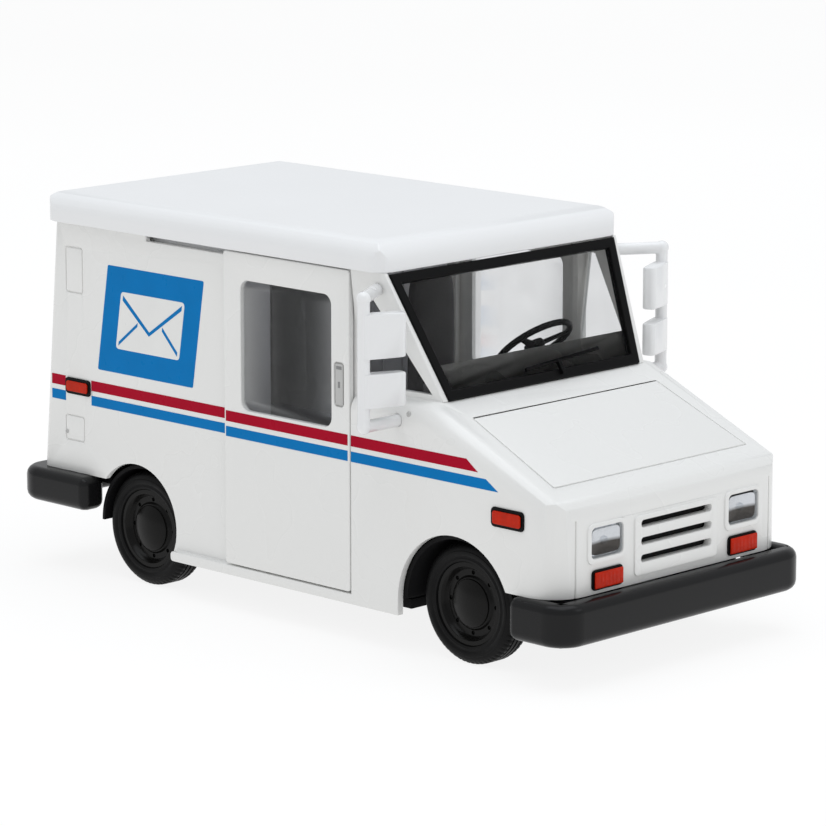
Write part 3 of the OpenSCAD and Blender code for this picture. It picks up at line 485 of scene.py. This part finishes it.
# Nodes that a piece of the same place and finish replaces further down
REPLACED_FINISHES = {
    "body_shell": "body_paint",
    "right_mirror": "mirror_plastic",
    "left_mirror": "mirror_plastic",
    "dashboard": "satin_black",
    "dash_tray": "tray_grey",
    "driver_seat": "seat_vinyl",
    "steering_wheel": "satin_black",
    "right_turn_signal": "lamp_red",
    "left_turn_signal": "lamp_red",
    "right_door": "body_paint",
    "left_door": "body_paint",
    "right_door_window": "clear_window",
    "left_door_window": "clear_window",
    "front_right_tyre": "tyre_rubber",
    "front_left_tyre": "tyre_rubber",
    "rear_right_tyre": "tyre_rubber",
    "rear_left_tyre": "tyre_rubber",
}

for node, (finish, width) in FINISHES.items():
    paint(NODES[node], finish)
    soften(node, width, 4 if width > 0.5 else 2)
for node, finish in REPLACED_FINISHES.items():
    paint(NODES[node], finish)


SPIKE_SHARE = 0.7  # a point this share of the rounding's width away from the CAD surface is a spike
SPIKE_REACH = 0.15 * MM  # the least size of the spot that is kept sharp around such a corner


def strays_from(surface, bm, limit):
    """bm's points that lie further than limit from a surface, each with its distance."""
    gaps = [(v.co.copy(), surface.find_nearest(v.co)[3]) for v in bm.verts]
    return [(at, gap) for at, gap in gaps if gap > limit]


def soft_copy(node, width_mm, material):
    """A CAD node's shape with its edges rounded, except at corners too sharp to round without a spike."""
    surface = surface_of(node)
    kept_sharp = []
    for _ in range(8):
        bm = cad_copy(node)
        corners = [v.co.copy() for v in bm.verts]
        edges = [
            e for e in creases(bm)
            if not any((v.co - at).length < reach for v in e.verts for at, reach in kept_sharp)
        ]
        round_edges(bm, edges, width_mm, 2, clamp=False)
        strays = strays_from(surface, bm, SPIKE_SHARE * width_mm * MM)
        if not strays:
            break
        for at, gap in strays:
            nearest = min(corners, key=lambda corner: (corner - at).length)
            kept_sharp.append((nearest, max(SPIKE_REACH, 1.2 * gap)))
        bm.free()
    else:
        raise RuntimeError(node + " still has spikes")
    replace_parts(new_piece(node + "_soft", bm, material, BODY_OF[node], 30), node)


# ---------- doors ----------

GLASS_X = (25.62, 25.82)  # mm from the middle of the truck to the door glass's inner and outer faces
RAIL_INNER_X = 23.12
RAIL_Y = (12.6, 31.9)
RAIL_LAYERS = (  # lower z, upper z, outer x
    (56.3, 56.75, 23.3),
    (56.75, 57.25, 23.22),
    (57.25, 57.75, 23.3),
)
# faces of the grey painted shade that fills the handle recess, and of the darker painted shade in its notch
RECESS_SHADE_INNER_X, RECESS_SHADE_OUTER_X, NOTCH_SHADE_OUTER_X = 26.05, 26.44, 26.48


def soft_door(side):
    """The door's own shape with the edges of its outer face rounded."""
    node = SIDE_NAMES[side] + "_door"
    bm = cad_copy(node)
    low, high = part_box(node)
    outer_x = low.x if side == RIGHT else high.x
    edges = [e for e in creases(bm) if all(abs(v.co.x - outer_x) < 0.01 * MM for v in e.verts)]
    round_edges(bm, edges, 0.16, 3, clamp=False)
    piece = new_piece(node + "_panel", bm, "body_paint", BODY_OF[node], 30)
    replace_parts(piece, node)


def door_glass(side):
    """The door's window, set at the inner face so that the opening shows its depth."""
    node = SIDE_NAMES[side] + "_door_window"
    bm = cad_copy(node, join_flat=False)
    low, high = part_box(node)
    middle = (low.x + high.x) / 2
    for v in bm.verts:
        is_outer = (v.co.x - middle) * side > 0
        v.co.x = side * GLASS_X[is_outer] * MM
    bmesh.ops.bevel(bm, geom=creases(bm), offset=0.04 * MM, segments=2, affect="EDGES", clamp_overlap=True)
    piece = new_piece(node + "_pane", bm, "clear_window", BODY_OF[node], 30)
    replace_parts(piece, node)


def track_rail(side):
    """A rail with a groove behind the slot that the door slides in, clear of the door's hook."""
    bm = bmesh.new()
    for z0, z1, outer_x in RAIL_LAYERS:
        x0, x1 = sorted((side * RAIL_INNER_X, side * outer_x))
        rounded_box(bm, (x0, RAIL_Y[0], z0), (x1, RAIL_Y[1], z1), 0.04, 2)
    new_piece(SIDE_NAMES[side] + "_track_rail", bm, "roof_plastic", "van")


def door_handle(side):
    """Grey painted shade filling the handle recess, with darker painted shade in the finger notch on top."""
    name = SIDE_NAMES[side] + "_door"
    bm = bmesh.new()
    x0, x1 = sorted((side * RECESS_SHADE_INNER_X, side * RECESS_SHADE_OUTER_X))
    rounded_box(bm, (x0, -14.15, 36.55), (x1, -12.55, 42.95), 0.1)
    new_piece(name + "_recess_painted_shade", bm, "stud_grey_and_painted_recess_shade", BODY_OF[name])
    # darker painted shade in the notch at the top and in a small spot below it
    bm = bmesh.new()
    x0, x1 = sorted((side * RECESS_SHADE_INNER_X, side * NOTCH_SHADE_OUTER_X))
    rounded_box(bm, (x0, -13.95, 42.05), (x1, -12.75, 42.6), 0.08)
    rounded_box(bm, (x0, -13.6, 39.2), (x1, -13.1, 40.2), 0.08)
    new_piece(name + "_notch_painted_shade", bm, "notch_painted_shade", BODY_OF[name])


STUD_STEPS = 24
STUD_PROFILE = (  # share of the radius, mm proud of the panel
    (1.0, -0.05), (1.0, 0.08), (0.85, 0.16), (0.6, 0.2), (0.4, 0.17), (0.25, 0.1),
)


def stud(name, side, y, z, radius):
    """A small domed stud with a dished middle, standing on the body's side."""
    bm = bmesh.new()
    foot = side_point(surface_of("body_shell"), side, y * MM, z * MM)
    rings = []
    for share, proud in STUD_PROFILE:
        ring = []
        for k in range(STUD_STEPS):
            a = 2 * math.pi * k / STUD_STEPS
            at = Vector((side * proud, share * radius * math.cos(a), share * radius * math.sin(a))) * MM
            ring.append(bm.verts.new(foot + at))
        rings.append(ring)
    for first, second in zip(rings, rings[1:]):
        bridge(bm, first, second)
    bm.faces.new(rings[0])
    bm.faces.new(rings[-1])
    new_piece(name, bm, "stud_grey_and_painted_recess_shade", "van", 50)


soft_copy("body_shell", 0.1, "body_paint")
for side in (RIGHT, LEFT):
    soft_copy(SIDE_NAMES[side] + "_mirror", 0.25, "mirror_plastic")
    stud(SIDE_NAMES[side] + "_fuel_latch", side, 51.0, 23.1, 0.35)
    stud(SIDE_NAMES[side] + "_mirror_screw", side, -28.0, 37.2, 0.45)
    soft_door(side)
    door_glass(side)
    track_rail(side)


# ---------- printed stripes and panels ----------

STRIPES = {  # name: (material, lower z, upper z, forward end at the lower edge, at the upper edge)
    "red": ("stripe_red", 30.6, 32.3, -42.5, -40.1),
    "blue": ("stripe_blue", 28.2, 29.8, -46.6, -44.1),
}
STRIPE_PROUD = 0.03
SEAM = 0.35  # how far the print stops short of a panel's edge
PRINT_GAP = 0.1  # and short of the rear marker and of the door's rear edge
REAR_MARKER = (45.0, 51.1)
REAR_EDGE = 54.6


def band(y0, y1, z0, z1):
    """A rectangle as a closed (y, z) outline."""
    return [(y0, z0), (y1, z0), (y1, z1), (y0, z1)]


def stripes(side):
    """The printed lines along one side, broken at the door's edges and at the rear marker."""
    name = SIDE_NAMES[side]
    door_node = name + "_door"
    door_front, door_rear = (corner.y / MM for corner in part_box(door_node))
    shell_surface, door_surface = surface_of("body_shell"), surface_of(door_node)
    panels = ((door_rear + PRINT_GAP, REAR_MARKER[0] - PRINT_GAP), (REAR_MARKER[1] + PRINT_GAP, REAR_EDGE))
    for colour, (material, z0, z1, end_low, end_high) in STRIPES.items():
        fender_rear = door_front - SEAM
        fender = [(end_low, z0), (fender_rear, z0), (fender_rear, z1), (end_high, z1)]
        piece = f"{name}_fender_stripe_{colour}"
        printed(piece, fender, side, shell_surface, STRIPE_PROUD, material, "van")
        piece = f"{name}_door_stripe_{colour}"
        door = band(door_front + SEAM, door_rear - SEAM, z0, z1)
        printed(piece, door, side, door_surface, STRIPE_PROUD, material, BODY_OF[door_node])
        for part, (y0, y1) in enumerate(panels):
            piece = f"{name}_panel_stripe_{colour}_{part + 1}"
            printed(piece, band(y0, y1, z0, z1), side, shell_surface, STRIPE_PROUD, material, "van")


PANEL_Y, PANEL_Z = (20.6, 43.2), (34.4, 51.8)
PANEL_SLANT = 2.8 / (PANEL_Z[1] - PANEL_Z[0])
LETTER_Y, LETTER_Z = (24.4, 39.4), (38.4, 47.8)
LINE = 0.55  # the folds' line width, and their distance from the envelope's edges


def leaned(outline):
    """An outline leaned so that its uprights follow the panel's slant."""
    return [(y - PANEL_SLANT * (z - PANEL_Z[0]), z) for y, z in outline]


def envelope_panel(side):
    """A slanted blue panel with a plain white envelope, in place of the real truck's mark."""
    name = SIDE_NAMES[side]
    surface = surface_of("body_shell")
    field = rounded_outline(leaned(band(*PANEL_Y, *PANEL_Z)), 0.35)
    printed(name + "_panel_blue", field, side, surface, STRIPE_PROUD, "stripe_blue", "van")
    letter = rounded_outline(leaned(band(*LETTER_Y, *LETTER_Z)), 0.7)
    printed(name + "_envelope", letter, side, surface, 0.05, "print_white", "van")
    front, rear = LETTER_Y[0] + LINE, LETTER_Y[1] - LINE
    foot, top = LETTER_Z[0] + LINE, LETTER_Z[1] - LINE
    middle = (front + rear) / 2
    flap_tip, fold_end = LETTER_Z[0] + 3.6, LETTER_Z[0] + 4.15
    flap = [
        (front, top - LINE * 1.5), (middle, flap_tip - LINE * 1.25), (rear, top - LINE * 1.5),
        (rear, top), (middle, flap_tip), (front, top),
    ]
    printed(name + "_envelope_flap", leaned(flap), side, surface, 0.07, "stripe_blue", "van")
    for part, (corner, inner) in enumerate(((front, middle - 2.9), (rear, middle + 2.9))):
        fold = [
            (corner, foot), (inner, fold_end),
            (inner, fold_end + LINE * 1.2), (corner, foot + LINE * 1.2),
        ]
        piece = f"{name}_envelope_fold_{part + 1}"
        printed(piece, leaned(fold), side, surface, 0.07, "stripe_blue", "van")


for side in (RIGHT, LEFT):
    door_handle(side)
    stripes(side)
    envelope_panel(side)


# ---------- tyres ----------

TREAD_STEPS = 256
STEPS_PER_NOTCH = 4


def tyre(node):
    """A tyre with rings on its sidewalls, three grooves and notched shoulders."""
    low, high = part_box(node)
    side = LEFT if high.x > 0 else RIGHT
    outer_x = high.x if side == LEFT else low.x
    centre = Vector((outer_x, (low.y + high.y) / 2, (low.z + high.z) / 2))
    r = (high.z - low.z) / 2 / MM
    w = (high.x - low.x) / MM
    half = [  # from the bead to the middle of the tread, as radius and depth
        (6.42, 0.42), (6.5, 0.2), (6.85, 0.12), (7.0, 0.2), (7.25, 0.2), (7.4, 0.1), (7.62, 0.02), (7.8, 0.0),
        (8.05, 0.03), (8.12, 0.12), (8.4, 0.16), (8.75, 0.36), (9.02, 0.62), (r - 0.06, 0.92), (r, 1.15),
        (r, 1.5), (r - 0.28, 1.55), (r - 0.28, 1.8), (r, 1.85), (r, w / 2 - 0.2), (r - 0.28, w / 2 - 0.14),
    ]
    profile = half + [(radius, w - depth) for radius, depth in reversed(half)]
    shoulder = {i for i, (radius, depth) in enumerate(half) if radius > 8.9 and depth < 1.3}
    shoulder |= {len(profile) - 1 - i for i in shoulder}

    def notched(step, i, radius, depth):
        """Cuts a notch into the shoulders every few steps."""
        if i in shoulder and step % STEPS_PER_NOTCH == 0:
            radius -= 0.2
        return radius, depth

    bm = bmesh.new()
    lathe(bm, profile, centre, side, TREAD_STEPS, notched)
    piece = new_piece(node + "_tread", bm, "tyre_rubber", BODY_OF[node], 32)
    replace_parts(piece, node)


for end in ("front", "rear"):
    for name in SIDE_NAMES.values():
        tyre(f"{end}_{name}_tyre")


# ---------- headlamps ----------

BOWL_STEPS = 32
BOWL_DEPTH = 0.36
BOWL_MARGIN = 0.35  # mm between the bowl's rim and the lamp's edge
BOWL_RINGS = (  # share of the rim's size, mm behind the rim
    (1.0, 0.0), (0.86, 0.12), (0.62, 0.24), (0.36, 0.33), (0.18, BOWL_DEPTH),
)


def bowl_ring(bm, centre, half_x, half_z, share):
    """A ring about centre, in mm: nearly square as the rim, and rounder the smaller its share is."""
    power = 0.32 + 0.68 * (1 - share)
    ring = []
    for k in range(BOWL_STEPS):
        a = 2 * math.pi * (k + 0.5) / BOWL_STEPS
        c, s = math.cos(a), math.sin(a)
        x = half_x * share * math.copysign(abs(c) ** power, c)
        z = half_z * share * math.copysign(abs(s) ** power, s)
        ring.append(bm.verts.new((centre + Vector((x, 0, z))) * MM))
    return ring


def headlamp(side):
    """A bowl and a bulb behind each clear lamp."""
    name = SIDE_NAMES[side]
    low, high = (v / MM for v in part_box(name + "_headlamp"))
    cx, cz = (low.x + high.x) / 2, (low.z + high.z) / 2
    half_x, half_z = (high.x - low.x) / 2 - BOWL_MARGIN, (high.z - low.z) / 2 - BOWL_MARGIN
    bowl_y = high.y - 0.03
    bm = bmesh.new()
    rings = []
    for share, depth in BOWL_RINGS:
        centre = Vector((cx, bowl_y - BOWL_DEPTH + depth, cz))
        rings.append(bowl_ring(bm, centre, half_x, half_z, share))
    for first, second in zip(rings, rings[1:]):
        bridge(bm, first, second)
    bm.faces.new(rings[-1])
    rim = rings[0]
    back = [bm.verts.new((v.co.x, high.y * MM, v.co.z)) for v in rim]
    bridge(bm, back, rim)
    bm.faces.new(back)
    # the bowl's colour holds a painted reflection, dark below and bright above
    new_piece(name + "_headlamp_bowl", bm, "lamp_bowl_painted_reflection", "van", 20)
    bm = bmesh.new()
    bmesh.ops.create_uvsphere(bm, u_segments=20, v_segments=12, radius=0.62 * MM)
    for v in bm.verts:
        v.co = Vector((v.co.x, v.co.y * 0.45, v.co.z)) + Vector((cx, bowl_y - 0.2, cz)) * MM
    new_piece(name + "_headlamp_bulb", bm, "lamp_clear", "van", 60)


for side in (RIGHT, LEFT):
    headlamp(side)


# ---------- cab ----------

def cushion(bm, low, high, crown_mm, segments=6):
    """A moulded cushion: a finely divided box whose faces swell towards their middles."""
    low, high = Vector(low), Vector(high)
    size = high - low
    bmesh.ops.create_cube(bm, size=2)
    bmesh.ops.subdivide_edges(bm, edges=bm.edges[:], cuts=segments * 2 - 1, use_grid_fill=True)
    for v in bm.verts:
        p = v.co.copy()
        soft = Vector()
        for i in range(3):
            j, k = (i + 1) % 3, (i + 2) % 3
            corner = 1 - 0.05 * (p[j] ** 8 + p[k] ** 8)
            crown = 1 - crown_mm / size[i] * (p[j] ** 2 + p[k] ** 2)
            soft[i] = p[i] * corner * crown
        v.co = Vector(((low[i] + high[i]) / 2 + soft[i] * size[i] / 2 for i in range(3))) * MM


def seat():
    """The driver's seat: a pedestal, a cushion and a back."""
    low, high = (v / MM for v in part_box("driver_seat"))
    cx = (low.x + high.x) / 2
    bm = bmesh.new()
    rounded_box(bm, (cx - 3, low.y + 3, low.z), (cx + 3, low.y + 8.6, 20.2), 0.5)
    new_piece("seat_pedestal", bm, "satin_black", "van")
    bm = bmesh.new()
    cushion(bm, (low.x, low.y, 20), (high.x, high.y - 1.2, 23.9), 0.25)
    base = new_piece("seat_cushion", bm, "seat_vinyl", "van", 60)
    bm = bmesh.new()
    cushion(bm, (low.x + 0.4, high.y - 2.7, 22.4), (high.x - 0.4, high.y - 0.1, high.z), 0.2)
    back = new_piece("seat_back", bm, "seat_vinyl", "van", 60)
    for piece in (base, back):
        smooth = piece.modifiers.new("smooth", "SUBSURF")
        smooth.levels = smooth.render_levels = 1
    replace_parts(back, "driver_seat")


DASH_DROP = 3.3 * MM  # the photo shows the dashboard's top this much lower than the CAD's
DASH_FOOT_Z = 36.5 * MM  # only what is above this moves down


def lowered(node, width_mm, material):
    """A CAD node's shape with its upper part moved down by DASH_DROP, and its edges rounded."""
    bm = cad_copy(node)
    for v in bm.verts:
        if v.co.z > DASH_FOOT_Z:
            v.co.z -= DASH_DROP
    round_edges(bm, creases(bm), width_mm, 3, clamp=True)
    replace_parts(new_piece(node + "_moulding", bm, material, "van", 30), node)


def vents(rear_y, top):
    """Defrost slots along the dashboard's top, and slatted air vents in its face."""
    bm = bmesh.new()
    for k in range(7):
        x = -17 + k * 2.6
        rounded_box(bm, (x, rear_y - 5.6, top - 1.1), (x + 1.9, rear_y - 5.1, top - 0.35), 0.12, 2)
    new_piece("defrost_vents", bm, "matte_black", "van")
    bm = bmesh.new()
    for x0 in (-14.0, -6.5):
        for k in range(4):
            z = top - 2.1 - k * 0.8
            rounded_box(bm, (x0, rear_y - 0.1, z - 0.45), (x0 + 5, rear_y + 0.28, z), 0.12, 2)
    new_piece("air_vents", bm, "satin_black", "van")


DIAL_R, TICK_R = 1.42, 1.12
DIAL_Z = 38.9  # before the dashboard is lowered
FACE_PART, TICK_PART, HAND_PART = 0, 1, 2  # material slots of the dials
DIAL_MATERIALS = {FACE_PART: "matte_black", TICK_PART: "print_white", HAND_PART: "lamp_red"}


def dial_mark(bm, at, angle, size, part):
    """Adds a small bar of a size in mm, turned by an angle in the dial's face."""
    turn = Matrix.Translation(at) @ Matrix.Rotation(-angle, 4, "Y")
    bar = bmesh.ops.create_cube(bm, size=1, matrix=turn @ Matrix.Diagonal((*(Vector(size) * MM), 1)))
    for v in bar["verts"]:
        for f in v.link_faces:
            f.material_index = part


def dials(rear_y):
    """Two dials behind the steering wheel, each with nine ticks and a hand."""
    wheel_low, wheel_high = (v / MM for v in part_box("steering_wheel"))
    wheel_x = (wheel_low.x + wheel_high.x) / 2
    bm = bmesh.new()
    for offset in (-2.2, 2.2):
        centre = Vector((wheel_x + offset, rear_y - 0.2, DIAL_Z)) * MM - Vector((0, 0, DASH_DROP))
        facing = Matrix.Translation(centre) @ Matrix.Rotation(math.pi / 2, 4, "X")
        bmesh.ops.create_cone(bm, cap_ends=True, segments=40, radius1=DIAL_R * MM, radius2=DIAL_R * MM,
                              depth=0.16 * MM, matrix=facing)
        for k in range(9):
            a = math.radians(225 - k * 33.75)
            at = centre + Vector((math.cos(a) * TICK_R, 0.1, math.sin(a) * TICK_R)) * MM
            dial_mark(bm, at, a, (0.34, 0.1, 0.09), TICK_PART)
        hand = centre + Vector((0.3, 0.12, 0.3)) * MM
        dial_mark(bm, hand, math.radians(45), (0.9, 0.1, 0.12), HAND_PART)
    piece = new_piece("dial_faces", bm, DIAL_MATERIALS[FACE_PART], "van")
    for part in (TICK_PART, HAND_PART):
        piece.data.materials.append(MATERIALS[DIAL_MATERIALS[part]])


def dash_details():
    """The vents and dials of the lowered dashboard."""
    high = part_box("dashboard")[1] / MM
    vents(high.y, high.z - DASH_DROP / MM)
    dials(high.y)


WHEEL_CENTRE, WHEEL_TILT = Vector((10.6, -19.3, 41.8)), math.radians(-40)
RIM_R, TUBE_R = 6.4, 0.5
RIM_STEPS, TUBE_STEPS, HUB_STEPS = 72, 14, 32
HUB_PROFILE = (  # radius, height
    (0.75, -4.6), (0.75, -1.3), (1.5, -0.9), (1.75, -0.3), (1.6, 0.25), (1.1, 0.42), (0.5, 0.47),
)


def wheel_rim(bm):
    """A ring with finely ribbed grip, flat about the origin, in mm."""
    loops = []
    for k in range(RIM_STEPS):
        a = 2 * math.pi * k / RIM_STEPS
        grip = TUBE_R * (1 + 0.06 * (k % 2))
        loop = []
        for j in range(TUBE_STEPS):
            b = 2 * math.pi * j / TUBE_STEPS
            r = RIM_R + grip * math.cos(b)
            loop.append(bm.verts.new((r * math.cos(a), r * math.sin(a), grip * math.sin(b))))
        loops.append(loop)
    for k, first in enumerate(loops):
        second = loops[(k + 1) % RIM_STEPS]
        for j in range(TUBE_STEPS):
            following = (j + 1) % TUBE_STEPS
            bm.faces.new((first[j], second[j], second[following], first[following]))


def wheel_spoke(bm, degrees):
    """One spoke, wider at the hub than at the rim."""
    made = bmesh.ops.create_cube(bm, size=1)["verts"]
    for v in made:
        width = 0.9 if v.co.x > 0 else 1.5
        v.co = Vector((RIM_R * 0.55 + v.co.x * RIM_R * 0.8, v.co.y * width, v.co.z * 0.45 - 0.25))
    edges = edges_between(bm, made)
    shaped = bmesh.ops.bevel(bm, geom=edges, offset=0.12, segments=2, affect="EDGES", clamp_overlap=True)
    verts = list({*shaped["verts"], *(v for v in made if v.is_valid)})
    bmesh.ops.rotate(bm, cent=(0, 0, 0), matrix=Matrix.Rotation(math.radians(degrees), 3, "Z"), verts=verts)


def wheel_hub(bm):
    """The padded hub, with a stub of the column under it."""
    angles = [2 * math.pi * k / HUB_STEPS for k in range(HUB_STEPS)]
    rings = []
    for radius, height in HUB_PROFILE:
        rings.append([bm.verts.new((radius * math.cos(a), radius * math.sin(a), height)) for a in angles])
    for first, second in zip(rings, rings[1:]):
        bridge(bm, first, second)
    bm.faces.new(rings[0])
    bm.faces.new(rings[-1])


def steering_wheel():
    """Three-spoke wheel with a padded hub and a column stub, at the tilt that the photo shows."""
    bm = bmesh.new()
    wheel_rim(bm)
    for degrees in (90, 210, 330):
        wheel_spoke(bm, degrees)
    wheel_hub(bm)
    tilt = Matrix.Rotation(WHEEL_TILT, 4, "X")
    place = Matrix.Translation(WHEEL_CENTRE * MM) @ tilt @ Matrix.Diagonal((MM, MM, MM, 1))
    bmesh.ops.transform(bm, matrix=place, verts=bm.verts)
    piece = new_piece("steering_wheel_rim", bm, "satin_black", "van", 45)
    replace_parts(piece, "steering_wheel")


LENS_MARGIN = 0.18  # mm that the lens reaches past the CAD's
LENS_RIBS = 7


def turn_signal(side):
    """A ribbed lens that leaves only a narrow dark edge, as in the photo."""
    node = SIDE_NAMES[side] + "_turn_signal"
    low, high = (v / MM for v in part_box(node))
    bm = bmesh.new()
    lens_low = (low.x - LENS_MARGIN, low.y, low.z - LENS_MARGIN)
    lens_high = (high.x + LENS_MARGIN, high.y - 0.04, high.z + LENS_MARGIN)
    rounded_box(bm, lens_low, lens_high, 0.2)
    for k in range(LENS_RIBS):
        x = low.x + (high.x - low.x) * (k + 0.5) / LENS_RIBS
        rib_low, rib_high = (x - 0.25, low.y - 0.02, low.z + 0.15), (x + 0.25, low.y + 0.1, high.z - 0.15)
        rounded_box(bm, rib_low, rib_high, 0.04, 2)
    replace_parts(new_piece(node + "_lens", bm, "lamp_red", "van"), node)


for side in (RIGHT, LEFT):
    turn_signal(side)
steering_wheel()
seat()
lowered("dashboard", 0.3, "satin_black")
lowered("dash_tray", 0.2, "tray_grey")
dash_details()


# ---------- floor, light and camera ----------

def area_light(name, place, target, size, power, colour):
    data = bpy.data.lights.new(name, "AREA")
    data.energy = power
    data.size = size
    data.color = colour
    light = bpy.data.objects.new(name, data)
    bpy.context.scene.collection.objects.link(light)
    light.location = place
    light.rotation_mode = "QUATERNION"
    light.rotation_quaternion = (Vector(target) - Vector(place)).to_track_quat("-Z", "Y")


FLOOR_GLOW = 1.12
FLOOR_GLOW_SHARE = 0.85


def studio_floor():
    """A pale floor that gives most of its own light, so that it stays even, and takes soft shadows."""
    bm = bmesh.new()
    bmesh.ops.create_grid(bm, x_segments=4, y_segments=4, size=4.0)
    mesh = bpy.data.meshes.new("studio_floor")
    bm.to_mesh(mesh)
    bm.free()
    floor = bpy.data.objects.new("studio_floor", mesh)
    bpy.context.scene.collection.objects.link(floor)
    tree = Tree("studio_floor")
    drift = tree.ramp(tree.noise(400, 2), 0.0, 1.0)
    white = tree.blend(drift, (0.9, 0.9, 0.9), (0.92, 0.92, 0.92))
    lit = tree.add("ShaderNodeBsdfDiffuse", {"Color": white})
    glow = tree.add("ShaderNodeEmission", {"Color": white, "Strength": FLOOR_GLOW})
    mixed = tree.add("ShaderNodeMixShader", {0: FLOOR_GLOW_SHARE, 1: lit.outputs[0], 2: glow.outputs[0]})
    floor.data.materials.append(tree.finish(mixed.outputs[0]))


def world_light(strength):
    world = bpy.data.worlds.new("studio")
    bpy.context.scene.world = world
    world.use_nodes = True
    background = world.node_tree.nodes["Background"]
    background.inputs["Color"].default_value = (0.97, 0.985, 1.0, 1)
    background.inputs["Strength"].default_value = strength


AZIMUTH, ELEVATION, DISTANCE = math.radians(-45.61), math.radians(11.45), 645.4 * MM
TARGET = Vector((-3.3, -6.41, 31.03)) * MM


def camera():
    data = bpy.data.cameras.new("camera")
    data.sensor_width = 36
    data.lens = 179.1
    data.clip_start, data.clip_end = 0.01, 20
    cam = bpy.data.objects.new("camera", data)
    bpy.context.scene.collection.objects.link(cam)
    back = Vector((
        math.sin(AZIMUTH) * math.cos(ELEVATION),
        -math.cos(AZIMUTH) * math.cos(ELEVATION),
        math.sin(ELEVATION),
    ))
    cam.location = TARGET + back * DISTANCE
    cam.rotation_mode = "QUATERNION"
    cam.rotation_quaternion = (-back).to_track_quat("-Z", "Y")
    bpy.context.scene.camera = cam


studio_floor()
world_light(strength=0.67)
area_light("top_softbox", (0, 0, 0.9), target=(0, 0, 0), size=0.9, power=4.1, colour=(0.92, 0.955, 1.0))
area_light("key_softbox", (0.35, -0.75, 0.6), target=(0, 0, 0.03), size=0.35, power=0.45,
           colour=(0.93, 0.96, 1.0))
camera()
bpy.context.scene.view_settings.view_transform = "Standard"
